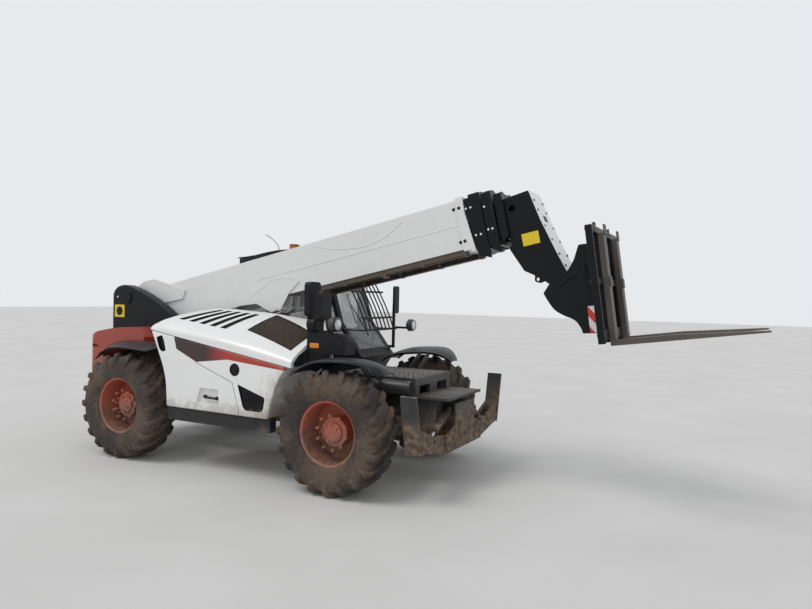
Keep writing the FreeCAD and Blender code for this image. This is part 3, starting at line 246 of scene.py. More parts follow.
def plainFinish(name):
    settings = finishes[name]
    paint = Paint(name)
    tint = paint.noise(7.0, 3.0)
    dull = tuple(channel * settings["mottle"] for channel in settings["colour"])
    colour = paint.mix(tint.fade(0.2, 0.8), settings["colour"], dull)
    finalColour, rough, height, amount = addMud(paint, colour, settings["rough"], settings)
    values = {"Base Color": finalColour, "Roughness": rough, "Normal": paint.bump(height, 0.004),
              "Specular IOR Level": settings["shine"]}
    for socket, share in (("Metallic", settings["metal"]), ("Coat Weight", settings["coat"])):
        values[socket] = (1.0 - amount) * share if share else 0.0
    return paint.finish(values)


def tyreFinish():
    paint = Paint("tyreRubber")
    broad = paint.noise(3.1, 5.0)
    fine = paint.noise(24.0, 6.0)
    grit = paint.noise(150.0, 3.0)
    cover = (broad * 0.6 + fine * 0.6).fade(0.42, 0.72)
    rubber = paint.mix(fine, (0.018, 0.016, 0.015), (0.038, 0.032, 0.027))
    mudColour = paint.mix(broad.fade(0.35, 0.65), (0.050, 0.034, 0.025), (0.130, 0.090, 0.065))
    colour = paint.mix(cover * 0.85, rubber, mudColour)
    height = cover * (0.5 + fine) + grit * 0.2
    return paint.finish({"Base Color": colour, "Roughness": 0.72 + cover * 0.2,
                         "Normal": paint.bump(height, 0.004)})


# The sliding sections: black ahead of the outer boom's mouth, as they show at rest, and
# grey where they slide out of it.
def stageFinish():
    settings = finishes["boomInner"]
    paint = Paint("boomStage")
    turn = radians(boomSizes.angle)
    along = ((paint.x + middleX - boomSizes.pivotX) * cos(turn) + (paint.z - boomSizes.pivotZ) * sin(turn))
    ahead = along.fade(boomSizes.mouth, boomSizes.mouth + 0.004)
    colour = paint.mix(ahead, settings["colour"], finishes["headBlack"]["colour"])
    finalColour, rough, height = addMud(paint, colour, settings["rough"], settings)[:3]
    return paint.finish({"Base Color": finalColour, "Roughness": rough, "Normal": paint.bump(height, 0.002),
                         "Specular IOR Level": 0.22})


def hoodFinish():
    settings = finishes["panelWhite"]
    paint = Paint("hoodSide")
    x = paint.x + middleX
    z = paint.z

    # Height above the line through two points.
    def above(first, second):
        slope = (second[1] - first[1]) / (second[0] - first[0])
        return z - (x - first[0]) * slope - first[1]
    corners = stripeSizes.corners
    upper = above(corners[0], corners[1])
    lowerBack = above(corners[5], corners[4])
    lowerMid = above(corners[4], corners[3])
    lowerFront = above(corners[3], corners[2])
    rear = above(corners[0], corners[5])
    edge = 0.002
    mask = (0.0 - upper).fade(-edge, edge) * rear.fade(-edge, edge) * lowerBack.fade(-edge, edge)
    mask = mask * lowerMid.most(lowerFront).fade(-edge, edge)
    mask = mask * (1.0 - (x - corners[1][0]).fade(-edge, edge))
    mask = mask * (1.0 - (paint.y + stripeSizes.skinY).fade(-edge, edge))
    red = paint.mix((x - stripeSizes.fadeFrom).fade(0.0, stripeSizes.fadeLength),
                    stripeSizes.maroon, stripeSizes.red)
    colour = paint.mix(mask, settings["colour"], red)
    # Dirt thrown up by the front wheel lies over the front lower corner.
    thrown = ((x - 0.25) * 0.9 + (1.25 - z) * 0.7).fade(0.15, 0.95)
    streaks = paint.noise(9.0, 5.0, (2.5, 1.0, 0.6))
    grit = paint.noise(70.0, 3.0)
    finalColour, rough, height, amount = addMud(paint, colour, settings["rough"], settings)
    splash = ((streaks * 0.65 + grit * 0.5) + thrown * 0.35).fade(0.66, 0.92) * thrown
    finalColour = paint.mix(splash * 0.75, finalColour, (0.33, 0.25, 0.165))
    rough = rough + splash * 0.4
    return paint.finish({"Base Color": finalColour, "Roughness": rough.least(0.95),
                         "Coat Weight": (1.0 - amount) * 0.4,
                         "Normal": paint.bump(height + splash * 0.4, 0.002)})


stripeSizes = SimpleNamespace(
    corners=((-0.62, 1.425), (0.90, 1.19), (0.86, 1.155), (0.14, 1.218), (-0.29, 1.167), (-0.58, 1.29)),
    skinY=1.09, fadeFrom=-0.20, fadeLength=0.35, maroon=(0.028, 0.007, 0.007), red=(0.38, 0.030, 0.015),
)


def grilleFinish():
    paint = Paint("grilleBrown")
    slat = paint.x.wave(2 * pi / 0.022)
    fine = paint.noise(30.0, 4.0)
    # The dark bands are painted shade in the gaps between the slats; the brown bands are the slats
    # themselves.
    colour = paint.mix(slat.fade(-0.6, 0.7), (0.016, 0.012, 0.009), (0.085, 0.052, 0.028))
    colour = paint.mix(fine.fade(0.45, 0.7) * 0.5, colour, (0.16, 0.105, 0.06))
    return paint.finish({"Base Color": colour, "Roughness": 0.7, "Normal": paint.bump(slat, 0.003)})


def glassFinish():
    paint = Paint("cabGlass")
    grime = paint.noise(5.0, 5.0)
    values = {"Base Color": paint.mix(grime.fade(0.4, 0.7), (0.62, 0.68, 0.68), (0.50, 0.52, 0.49)),
              "Roughness": 0.03 + grime.fade(0.45, 0.8) * 0.12, "Alpha": 0.30 + grime.fade(0.45, 0.8) * 0.12}
    return paint.finish(values)


def lensFinish(name, colour, rough):
    paint = Paint(name)
    rings = paint.cells(90.0)
    shade = tuple(channel * 0.7 for channel in colour)
    values = {"Base Color": paint.mix(rings.fade(0.2, 0.7), colour, shade), "Roughness": rough,
              "Metallic": 0.75 if name == "lampLens" else 0.0, "Normal": paint.bump(rings, 0.002)}
    return paint.finish(values)


def tapeFinish():
    paint = Paint("tapeRedWhite")
    pitch = 0.16
    along = (paint.x + paint.z + paint.y) * (2 * pi / pitch)
    bands = along.wave(1.0)
    fine = paint.noise(60.0, 3.0)
    colour = paint.mix(bands.fade(-0.06, 0.06), (0.70, 0.69, 0.66), (0.55, 0.03, 0.022))
    colour = paint.mix(fine.fade(0.55, 0.75) * 0.5, colour, mudColours["dust"])
    return paint.finish({"Base Color": colour, "Roughness": 0.35, "Normal": paint.bump(fine, 0.0004)})


def clothFinish():
    paint = Paint("seatCloth")
    weave = (paint.x.wave(900.0) * paint.z.wave(900.0) + paint.y.wave(900.0) * 0.6)
    worn = paint.noise(9.0, 4.0)
    colour = paint.mix(worn.fade(0.4, 0.7), (0.035, 0.036, 0.04), (0.07, 0.068, 0.066))
    return paint.finish({"Base Color": colour, "Roughness": 0.85, "Normal": paint.bump(weave + worn, 0.0008)})


materials = {name: plainFinish(name) for name in finishes}
for finish in (tyreFinish, stageFinish, hoodFinish, grilleFinish, glassFinish, tapeFinish, clothFinish):
    made = finish()
    materials[made.name] = made
for name, colour, rough in (("lampLens", (0.80, 0.82, 0.85), 0.12), ("amberLens", (0.85, 0.30, 0.02), 0.25),
                            ("redLens", (0.55, 0.02, 0.015), 0.25)):
    materials[name] = lensFinish(name, colour, rough)
print("stage: materials mixed")


# Follows points with a smooth curve: gives the height at any place along it.
def smoothCurve(points):
    def height(x):
        if x <= points[0][0]:
            return points[0][1]
        for index in range(len(points) - 1):
            first, second = points[index], points[index + 1]
            if x <= second[0]:
                before = points[max(index - 1, 0)]
                after = points[min(index + 2, len(points) - 1)]
                width = second[0] - first[0]
                slopeIn = (second[1] - before[1]) / max(second[0] - before[0], 1e-6)
                slopeOut = (after[1] - first[1]) / max(after[0] - first[0], 1e-6)
                t = (x - first[0]) / width
                return ((2 * t ** 3 - 3 * t ** 2 + 1) * first[1] + (t ** 3 - 2 * t ** 2 + t) * width * slopeIn
                        + (3 * t ** 2 - 2 * t ** 3) * second[1] + (t ** 3 - t ** 2) * width * slopeOut)
        return points[-1][1]
    return height


# Rounds the corners of an outline; corners are (across, up) or (across, up, radius).
def rounded(corners, radius=0.02, steps=5):
    outline = []
    for index, corner in enumerate(corners):
        here = Vector(corner[:2])
        back = Vector(corners[index - 1][:2]) - here
        ahead = Vector(corners[(index + 1) % len(corners)][:2]) - here
        wanted = corner[2] if len(corner) > 2 else radius
        reach = min(wanted, back.length * 0.49, ahead.length * 0.49)
        if reach < 1e-5:
            outline.append(tuple(here))
            continue
        start = here + back.normalized() * reach
        end = here + ahead.normalized() * reach
        outline += bend(start, here, end, range(steps + 1), steps)
    return outline


# Places on a curve that leaves start and reaches end, pulled towards a third place.
def bend(start, pull, end, marks, steps):
    shares = [mark / steps for mark in marks]
    return [tuple(start * (1 - t) ** 2 + pull * 2 * t * (1 - t) + end * t * t) for t in shares]


def boxOutline(left, low, right, high):
    return [(left, low), (right, low), (right, high), (left, high)]


def roundBox(left, low, right, high, radius, steps):
    return rounded(boxOutline(left, low, right, high), radius, steps)


# Corners of a polygon with equal sides round a place.
def ringOutline(across, up, radius, sides):
    turn = 2 * pi / sides
    return [(across + radius * cos(turn * i), up + radius * sin(turn * i)) for i in range(sides)]


# Collects closed shapes, then makes them one piece that rides on a body.
class Shape:
    def __init__(self):
        self.mesh = bmesh.new()

    # Joins rings of points by faces: closed rings or open ones, with end faces or wrapped round.
    def loft(self, rings, closed=True, wrap=False):
        rows = [[self.mesh.verts.new(point) for point in ring] for ring in rings]
        if wrap:
            rows.append(rows[0])
        for near, far in zip(rows, rows[1:]):
            for index in range(len(near) if closed else len(near) - 1):
                after = (index + 1) % len(near)
                self.mesh.faces.new((near[index], near[after], far[after], far[index]))
        if not wrap:
            self.mesh.faces.new(rows[0])
            self.mesh.faces.new(rows[-1])
        return self

    def prism(self, plane, outline, low, high, taper=1.0):
        middle = Vector((sum(p[0] for p in outline), sum(p[1] for p in outline))) / len(outline)
        far = [middle + (Vector(spot) - middle) * taper for spot in outline]
        return self.loft([plane.line(outline, low), plane.line(far, high)])

    def block(self, plane, left, down, right, up, low, high):
        return self.prism(plane, boxOutline(left, down, right, up), low, high)

    def disc(self, plane, across, up, radius, low, high, sides=32, taper=1.0):
        return self.prism(plane, ringOutline(across, up, radius, sides), low, high, taper)

    # A round bar through points, closed at both ends.
    def bar(self, points, radius, sides=10):
        points = [Vector(p) for p in points]
        rings = []
        across = None
        for index, point in enumerate(points):
            ahead = points[min(index + 1, len(points) - 1)] - points[max(index - 1, 0)]
            ahead.normalize()
            guide = across or (Vector((0, 0, 1)) if abs(ahead.z) < 0.9 else Vector((0, 1, 0)))
            across = guide - ahead * guide.dot(ahead)
            across.normalize()
            other = ahead.cross(across)
            rings.append([point + across * a + other * b for a, b in ringOutline(0, 0, radius, sides)])
        return self.loft(rings)

    # Turns a closed (radius, along) outline round an axis through a point.
    def turned(self, centre, axis, outline, steps=48):
        axis = Vector(axis).normalized()
        start = Vector((1, 0, 0)) if abs(axis.x) < 0.9 else Vector((0, 0, 1))
        start = (start - axis * start.dot(axis)).normalized()
        other = axis.cross(start)
        rays = [start * a + other * b for a, b in ringOutline(0, 0, 1, steps)]
        return self.loft([[Vector(centre) + ray * r + axis * a for r, a in outline] for ray in rays],
                         wrap=True)

    def build(self, name):
        bmesh.ops.remove_doubles(self.mesh, verts=self.mesh.verts, dist=1e-6)
        bmesh.ops.dissolve_degenerate(self.mesh, edges=self.mesh.edges, dist=1e-7)
        bmesh.ops.recalc_face_normals(self.mesh, faces=self.mesh.faces)
        mesh = bpy.data.meshes.new(name)
        self.mesh.to_mesh(mesh)
        self.mesh.free()
        piece = bpy.data.objects.new(name, mesh)
        bpy.context.scene.collection.objects.link(piece)
        return piece

    def finish(self, name, material, bevel=0.0, body="machine", **more):
        dress(self.build(name), material, bevel, body, **more)


def soften(piece, width, segments=2, angle=35):
    edge = piece.modifiers.new("softEdge", "BEVEL")
    edge.width = width
    edge.segments = segments
    edge.limit_method = "ANGLE"
    edge.angle_limit = radians(angle)


def dress(piece, material, bevel=0.0, body="machine", segments=2, replaces=(), angle=35):
    if len(piece.data.materials) < 2:
        piece.data.materials.clear()
        piece.data.materials.append(materials[material])
    piece.data.shade_smooth()
    piece.data.set_sharp_from_angle(angle=radians(angle))
    if bevel:
        soften(piece, bevel, segments, angle)
    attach(piece, body)
    if replaces:
        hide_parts(*replaces)
    return piece


# Turns a piece with modifiers into a plain mesh.
def applyModifiers(piece):
    bpy.context.view_layer.update()
    graph = bpy.context.evaluated_depsgraph_get()
    mesh = bpy.data.meshes.new_from_object(piece.evaluated_get(graph))
    piece.modifiers.clear()
    piece.data = mesh
    return piece


def carve(piece, cutter, insideMaterial):
    if not piece.data.materials:
        piece.data.materials.append(materials[insideMaterial])
    cutter.data.materials.append(materials[insideMaterial])
    cut = piece.modifiers.new("cut", "BOOLEAN")
    cut.operation = "DIFFERENCE"
    cut.object = cutter
    cut.solver = "EXACT"
    cut.use_self = True
    cut.material_mode = "TRANSFER"
    applyModifiers(piece)
    bpy.data.objects.remove(cutter)
    return piece


# A Geometry Nodes tree that sets copies of a mesh along a row, or in a ring round an axle.
def copyTree(name, sockets):
    tree = bpy.data.node_groups.new(name, "GeometryNodeTree")
    for label, kind in (("Geometry", "Geometry"), ("Count", "Int"), *sockets, ("Material", "Material")):
        tree.interface.new_socket(label, in_out="INPUT", socket_type="NodeSocket" + kind)
    tree.interface.new_socket("Geometry", in_out="OUTPUT", socket_type="NodeSocketGeometry")
    given = addNode(tree, "NodeGroupInput")
    isRing = name == "ringOfCopies"
    points = addNode(tree, "GeometryNodeMeshLine", {}, {
        "Count": given["Count"], "Offset": (0, 0, 0) if isRing else given["Step"]})
    setting = {"Points": points[0], "Instance": given["Geometry"]}
    if isRing:
        index = addNode(tree, "GeometryNodeInputIndex")
        share = addNode(tree, "ShaderNodeMath", {"operation": "DIVIDE"}, {0: index[0], 1: given["Count"]})
        turn = addNode(tree, "ShaderNodeMath", {"operation": "MULTIPLY_ADD"}, {
            0: share[0], 1: 2 * pi, 2: given["First angle"]})
        setting["Rotation"] = addNode(tree, "ShaderNodeCombineXYZ", {}, {1: turn[0]})[0]
    copies = addNode(tree, "GeometryNodeInstanceOnPoints", {}, setting)
    real = addNode(tree, "GeometryNodeRealizeInstances", {}, {0: copies[0]})
    if isRing:
        real = addNode(tree, "GeometryNodeTransform", {},
                       {"Geometry": real[0], "Translation": given["Centre"]})
    coloured = addNode(tree, "GeometryNodeSetMaterial", {},
                       {"Geometry": real[0], "Material": given["Material"]})
    addNode(tree, "NodeGroupOutput", {}, {0: coloured[0]})
    return tree


copyTrees = {"ring": copyTree("ringOfCopies", (("First angle", "Float"), ("Centre", "Vector"))),
             "row": copyTree("rowOfCopies", (("Step", "Vector"),))}


def repeat(piece, tree, values):
    copies = piece.modifiers.new("copies", "NODES")
    copies.node_group = copyTrees[tree]
    for item in copyTrees[tree].interface.items_tree:
        if item.item_type == "SOCKET" and item.in_out == "INPUT" and item.name in values:
            copies[item.identifier] = values[item.name]
    return applyModifiers(piece)


# Joins meshes into the first one.
def join(pieces):
    whole = bmesh.new()
    for piece in pieces:
        whole.from_mesh(piece.data)
    whole.to_mesh(pieces[0].data)
    whole.free()
    for piece in pieces[1:]:
        bpy.data.objects.remove(piece)
    return pieces[0]


# The CAD nodes that keep their own shape, by finish and edge width.
corners = ("front_left", "front_right", "rear_left", "rear_right")
nodeFinishes = (
    ("frameBlack", 0.004, ("chassis_frame", "cab_body")), ("uprightBlack", 0.006, ("rear_uprights",)),
    ("paintRed", 0.02, ("counterweight",)), ("deckGrey", 0.004, ("front_deck",)),
    ("fenderBlack", 0.0, ("rear_fenders",)), ("engineGrey", 0.01, ("engine_block",)),
    ("frameBlack", 0.003, ("cab_door", "lift_barrel", "stabiliser_barrel_left", "stabiliser_barrel_right")),
    ("cabGlass", 0.0, ("cab_glass",)), ("frameBlack", 0.0, ("cab_guard",)),
    ("plasticDark", 0.008, ("steering_column",)), ("plasticDark", 0.004, ("right_mirrors", "left_mirror")),
    ("sillBlack", 0.008, ("side_sills",)), ("axleMud", 0.008, ("front_axle", "rear_axle")),
    ("stabiliserMud", 0.006, ("stabiliser_beam", "stabiliser_leg_left", "stabiliser_leg_right")),
    ("boomGrey", 0.006, ("boom_outer",)), ("headBlack", 0.005, ("fork_frame",)),
    ("boomStage", 0.004, ("boom_stage_2", "boom_stage_3", "boom_stage_4")),
    ("forkIron", 0.004, ("fork_left", "fork_right")),
    ("chromeRod", 0.0, ("lift_rod", "stabiliser_rod_left", "stabiliser_rod_right")),
    ("axleMud", 0.004, [corner + "_knuckle" for corner in corners]),
    ("rimRed", 0.0, [corner + "_rim" for corner in corners]),
)
for finish, width, names in nodeFinishes:
    for name in names:
        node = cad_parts[name]
        node.data.materials.clear()
        node.data.materials.append(materials[finish])
        if width:
            node.modifiers.new("weld", "WELD").merge_threshold = 0.00005
            flat = node.modifiers.new("flat", "DECIMATE")
            flat.decimate_type = "DISSOLVE"
            flat.angle_limit = radians(1.0)
            soften(node, width)

# The pane in the door's window is glass, though it belongs to the door's own solid.
paneDepth = (1.098, 1.108)
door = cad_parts["cab_door"]
door.data.materials.append(materials["cabGlass"])
for face in door.data.polygons:
    depths = [(door.matrix_world @ door.data.vertices[index].co).y for index in face.vertices]
    if paneDepth[0] < min(depths) and max(depths) < paneDepth[1]:
        face.material_index = 1
print("stage: frame nodes finished")


# Tyres: a turned carcass with slanting lugs set round both shoulders.
tyreSizes = SimpleNamespace(
    lugs=20, hubZ=0.60, axleX=1.425, wheelY=1.01,
    carcass=((0.312, 0.150), (0.318, 0.172), (0.345, 0.186), (0.390, 0.196), (0.430, 0.199), (0.436, 0.1995),
             (0.442, 0.199), (0.480, 0.197), (0.520, 0.188), (0.545, 0.170), (0.556, 0.140), (0.562, 0.06),
             (0.564, 0.0)),
    # top height and place, base height and place, turn and half width along the lug
    lug=((0.462, 0.1985, 0.46, 0.18, 0.000, 0.020), (0.520, 0.1995, 0.50, 0.17, 0.012, 0.026),
         (0.566, 0.1965, 0.53, 0.15, 0.026, 0.029), (0.592, 0.1650, 0.54, 0.14, 0.050, 0.030),
         (0.599, 0.1000, 0.55, 0.09, 0.115, 0.028), (0.600, 0.0400, 0.55, 0.04, 0.172, 0.026),
         (0.598, -0.022, 0.55, -0.02, 0.215, 0.022)),
)


def lugShape(mirror):
    rings = []
    for topR, topY, baseR, baseY, angle, half in tyreSizes.lug:
        ring = []
        for radius, y, turn in ((baseR, baseY, -half * 1.35 / baseR), (topR, topY, -half / topR),
                                (topR, topY, half / topR), (baseR, baseY, half * 1.35 / baseR)):
            around = (angle + turn) * mirror
            ring.append((radius * sin(around), y * mirror, radius * cos(around)))
        rings.append(ring)
    piece = Shape().loft(rings).build("lug")
    soften(piece, 0.005, 1, 30)
    return applyModifiers(piece)


def wheelPlace(corner):
    x = tyreSizes.axleX * (1 if corner.startswith("front") else -1)
    facing = 1 if corner.endswith("left") else -1
    return Vector((x - middleX, tyreSizes.wheelY * facing, tyreSizes.hubZ)), facing


def ringOf(piece, count, firstAngle, centre, material):
    return repeat(piece, "ring", {"Count": count, "First angle": firstAngle, "Centre": centre,
                                  "Material": materials[material]})


def tyre(corner):
    centre, facing = wheelPlace(corner)
    half = tyreSizes.carcass
    outline = list(half) + [(r, -y) for r, y in reversed(half[:-1])]
    whole = Shape().turned(centre, (0, 1, 0), outline, 96).build(corner + "_tyre_tread")
    count = tyreSizes.lugs
    rows = [ringOf(lugShape(mirror * facing), count, offset, centre, "tyreRubber")
            for mirror, offset in ((1, 0.0), (-1, pi / count))]
    dress(join([whole] + rows), "tyreRubber", body="wheel_" + corner, replaces=(corner + "_tyre",),
          angle=40)


# Nuts on the disc and bolts on the hub. Columns: count, ring, size, the face they sit on, length.
nutSizes = ((10, 0.165, 0.017, 0.075, 0.018), (8, 0.085, 0.009, 0.110, 0.010))


def wheelFittings(corner):
    centre, facing = wheelPlace(corner)
    disc = Plane((0, 0, 0), (1, 0, 0), (0, 0, 1), (0, facing, 0))
    sets = []
    for count, ring, size, face, length in nutSizes:
        nut = Shape().prism(disc, ringOutline(ring, 0, size, 6), face - 0.02, face + length, 0.92)
        sets.append(ringOf(nut.build("nut"), count, 0.2, centre, "rimRed"))
    whole = join(sets)
    whole.name = corner + "_wheel_nuts"
    dress(whole, "rimRed", 0.001, "wheel_" + corner)


for corner in corners:
    tyre(corner)
    wheelFittings(corner)
print("stage: wheels")


# Engine hood: a lid over the side panel. Heights are by distance along the machine.
hoodSizes = SimpleNamespace(
    skinY=-1.12, innerY=-0.38, back=-0.98, front=0.955, thick=0.014,
    split=((-0.98, 1.4807), (0.955, 1.1815)),
    ridge=((-0.98, 1.665), (-0.80, 1.708), (-0.62, 1.728), (0.06, 1.700), (0.64, 1.640), (0.955, 1.590)),
    shoulder=((-0.98, 1.560), (-0.86, 1.600), (-0.60, 1.575), (-0.30, 1.535), (0.18, 1.475), (0.60, 1.405),
              (0.87, 1.350), (0.955, 1.330)),
    edge=((-0.98, 1.497), (-0.80, 1.500), (-0.53, 1.470), (0.0, 1.415), (0.25, 1.375), (0.87, 1.262),
          (0.955, 1.243)),
    shoulderY=-1.0, stations=64,
)


def splitHeight(x):
    first, second = hoodSizes.split
    return first[1] + (x - first[0]) * (second[1] - first[1]) / (second[0] - first[0])


def hoodTop(x, y):
    ridge = smoothCurve(hoodSizes.ridge)(x)
    shoulder = smoothCurve(hoodSizes.shoulder)(x)
    share = (y - hoodSizes.innerY) / (hoodSizes.shoulderY - hoodSizes.innerY)
    crown = 0.018 * sin(pi * min(max(share, 0.0), 1.0))
    return ridge + (shoulder - ridge) * share + crown


def bonnetSection(x):
    edge = smoothCurve(hoodSizes.edge)(x)
    low = splitHeight(x) + 0.004
    skinY, innerY = hoodSizes.skinY, hoodSizes.innerY
    turnY = hoodSizes.shoulderY + 0.03
    points = [(skinY, low), (skinY, (low + edge) / 2), (skinY, edge - 0.012), (skinY + 0.004, edge)]
    pull = Vector((skinY + 0.045, hoodTop(x, skinY + 0.02) + 0.004))
    points += bend(Vector(points[-1]), pull, Vector((turnY, hoodTop(x, turnY))), range(1, 8), 8)
    across = [turnY + (innerY - 0.02 - turnY) * step / 12 for step in range(13)]
    innerZ = hoodTop(x, innerY)
    points += [(y, hoodTop(x, y)) for y in across]
    return points + [(innerY - 0.005, innerZ - 0.006), (innerY, innerZ - 0.025), (innerY, (innerZ + low) / 2),
                     (innerY, low)]


slotSizes = SimpleNamespace(
    grille=((0.20, -0.89), (0.23, -0.43), (0.90, -0.66), (0.87, -1.01)), grilleDepth=(0.020, 0.030),
    rear=-0.735, inner=-0.55, outerY=-0.95, innerY=-0.50, widths=(0.085, 0.075), count=5, pitch=0.152,
    liner=((-0.80, -0.96), (0.10, -0.96), (0.10, -0.45), (-0.60, -0.45)), linerDepth=(0.045, 0.051),
    slats=17, slat=0.0075, slatDepth=0.012,
)


# Five slanting slots, one behind the other.
def slotOutline(number):
    rear = slotSizes.rear + slotSizes.pitch * number
    inner = slotSizes.inner + slotSizes.pitch * number * 0.86
    outerY, innerY = slotSizes.outerY, slotSizes.innerY
    outerWidth, innerWidth = slotSizes.widths
    return rounded([(rear, outerY), (rear + outerWidth, outerY), (inner + innerWidth, innerY),
                    (inner, innerY)], 0.008, 3)


# The dark mouth in the bonnet's front: the opening when spread is 0, its panel when it is 1.
def mouthOutline(spread, floor):
    outer, inner = -1.075 - 0.025 * spread, -0.40
    return [(outer, floor), (outer, 1.235), (-1.0 - 0.02 * spread, 1.298 + 0.002 * spread),
            (inner, 1.555 + 0.005 * spread), (inner, floor)]


# A place on the bonnet, this far under its skin.
def underSkin(x, y, depth):
    return front.at(y, hoodTop(x, y) - depth, x)


def bonnet():
    stations = hoodSizes.stations
    pitch = (hoodSizes.front - hoodSizes.back) / stations
    rings = []
    for station in range(stations + 1):
        x = hoodSizes.back + pitch * station
        rings.append([front.at(y, z, x) for y, z in bonnetSection(x)])
    skin = Shape().loft(rings, closed=False).build("bonnet_skin")
    skin.data.materials.append(materials["panelWhite"])
    # A thin wall, then the slots, the grille opening and the dark front mouth are cut out.
    wall = skin.modifiers.new("wall", "SOLIDIFY")
    wall.thickness = hoodSizes.thick
    wall.offset = -1
    applyModifiers(skin)
    slots = Shape()
    for number in range(slotSizes.count):
        slots.prism(top, slotOutline(number), 1.40, 1.80)
    slots.prism(top, slotSizes.grille, 1.30, 1.80)
    slots.prism(front, mouthOutline(0.0, splitHeight(hoodSizes.front) - 0.05), 0.90, 1.0)
    carve(skin, slots.build("slots"), "plasticDark")
    dress(skin, "panelWhite", body="engine_bonnet", replaces=("bonnet",), angle=28)


# Dark panels that close the slots, the grille with its slats, and the front mouth.
def bonnetInserts():
    dark = Shape()
    dark.loft([[underSkin(x, y, depth) for x, y in slotSizes.liner] for depth in slotSizes.linerDepth])
    dark.prism(front, mouthOutline(1.0, splitHeight(0.93) + 0.006), 0.905, 0.925)
    dark.finish("bonnet_dark_liner", "plasticDark", 0.002, "engine_bonnet")
    grille = slotSizes.grille
    mesh = Shape().loft([[underSkin(x, y, depth) for x, y in grille] for depth in slotSizes.grilleDepth])
    mesh.finish("bonnet_grille_mesh", "grilleBrown", 0.0, "engine_bonnet")
    slats = Shape()
    backLow, backHigh, frontHigh, frontLow = [Vector(corner) for corner in grille]
    for index in range(slotSizes.slats):
        share = (index + 0.5) / slotSizes.slats
        start, end = backLow.lerp(frontLow, share), backHigh.lerp(frontHigh, share)
        spots = [start.lerp(end, step / 4) for step in range(5)]
        slats.bar([underSkin(*spot, slotSizes.slatDepth) for spot in spots], slotSizes.slat, 6)
    slats.finish("bonnet_grille_slats", "railBrown", 0.0, "engine_bonnet")


podSizes = SimpleNamespace(
    outline=((-0.72, 0.655, 0.03), (0.675, 0.65, 0.02), (0.715, 0.83, 0.05), (0.775, 1.01, 0.05),
             (0.89, 1.188, 0.0), (-0.97, 1.476, 0.0), (-0.885, 1.30, 0.05), (-0.79, 1.10, 0.08),
             (-0.742, 0.95, 0.08), (-0.728, 0.80, 0.04)),
    vent=((-0.885, 1.405, 0.02), (-0.80, 1.43, 0.02), (-0.775, 1.39, 0.02), (-0.735, 1.26, 0.03),
          (-0.80, 1.245, 0.03), (-0.845, 1.29, 0.02)),
    window=((0.285, 0.975, 0.012), (0.645, 0.865, 0.03), (0.62, 0.74, 0.02), (0.585, 0.715, 0.015),
            (0.395, 0.715, 0.015), (0.36, 0.745, 0.012)),
    handle=((-0.24, 0.905, 0.008), (0.04, 0.905, 0.012), (0.055, 0.735, 0.02), (-0.30, 0.735, 0.02)),
    room=((-0.69, 0.69), (0.63, 0.69), (0.73, 1.01), (0.83, 1.15), (0.83, 1.40), (-0.92, 1.70),
          (-0.92, 1.45), (-0.845, 1.31), (-0.755, 1.11), (-0.70, 0.95)),
    depth=(-1.12, -0.40), roomDepth=(-1.078, -0.43), bars=(0.385, 0.026, 9),
    pullFeet=((-0.20, 0.786, -0.155, 0.822), (-0.03, 0.78, 0.01, 0.816)),
    pull=((-0.175, 0.802, -1.096), (-0.165, 0.802, -1.112), (-0.02, 0.798, -1.114), (-0.01, 0.798, -1.096)),
    cap=(0.243, 1.12, 0.066), seam=((-0.30, 1.165), (0.215, 0.985), (0.305, 0.70), (0.31, 0.66)),
)


def pod():
    capX, capZ, capR = podSizes.cap
    skin = Shape().prism(side, rounded(podSizes.outline, 0.03, 6), *podSizes.depth).build("pod_skin")
    skin.data.materials.append(materials["hoodSide"])
    soften(skin, 0.016, 4, 40)
    applyModifiers(skin)
    # The handle's recess leans in a little.
    recess = Shape().prism(side, rounded(podSizes.handle, 0.01, 4), -1.20, -1.085, 0.86)
    carve(skin, recess.build("recess"), "hoodSide")
    # The engine's room is open above, and shows when the bonnet is up.
    room = Shape().prism(side, podSizes.room, *podSizes.roomDepth)
    carve(skin, room.build("engine_room"), "plasticDark")
    openings = Shape()
    openings.prism(side, rounded(podSizes.vent, 0.02, 5), -1.2, -1.09)
    openings.prism(side, rounded(podSizes.window, 0.012, 5), -1.2, -1.10)
    openings.disc(side, capX, capZ, capR, -1.2, -1.085, 40)
    seam = [Vector(spot) for spot in podSizes.seam]
    for first, second in zip(seam, seam[1:]):
        along = (second - first).normalized()
        across = Vector((-along.y, along.x)) * 0.0028
        start, end = first - along * 0.002, second + along * 0.002
        line = [tuple(spot) for spot in (start - across, end - across, end + across, start + across)]
        openings.prism(side, line, -1.14, -1.112)
    carve(skin, openings.build("openings"), "plasticDark")
    dress(skin, "hoodSide", replaces=("engine_pod",), angle=28)
    fittings = Shape()
    fittings.disc(side, capX, capZ, capR * 0.86, -1.114, -1.09, 40, 1.12)
    fittings.disc(side, capX, capZ, capR * 0.45, -1.122, -1.11, 32, 1.15)
    fittings.block(side, capX - 0.045, capZ - 0.008, capX + 0.045, capZ + 0.008, -1.124, -1.112)
    fittings.bar(side.line(podSizes.pull), 0.012, 10)
    for foot in podSizes.pullFeet:
        fittings.block(side, *foot, -1.098, -1.088)
    start, pitch, count = podSizes.bars
    for step in range(count):
        x = start + step * pitch
        fittings.bar([side.at(x, 0.735, -1.104), side.at(x, 0.900 - step * 0.006, -1.104)], 0.003, 6)
    fittings.finish("pod_cap_and_handle", "plasticDark", 0.003)


# What shows of the engine when the bonnet is up: rocker cover, injector caps, manifold,
# air filter and its hose.
engineSizes = SimpleNamespace(
    inset=0.10, back=0.10, front=0.26, rise=0.040, ribs=7, rib=0.008, pipe=0.020, branches=4, filter=0.075,
    filterAhead=0.13, hose=0.032,
    filterShape=((0.0, -0.19), (0.9, -0.19), (1.0, -0.18), (1.0, 0.12), (1.08, 0.12), (1.08, 0.15),
                 (0.9, 0.18), (0.0, 0.18)),
)


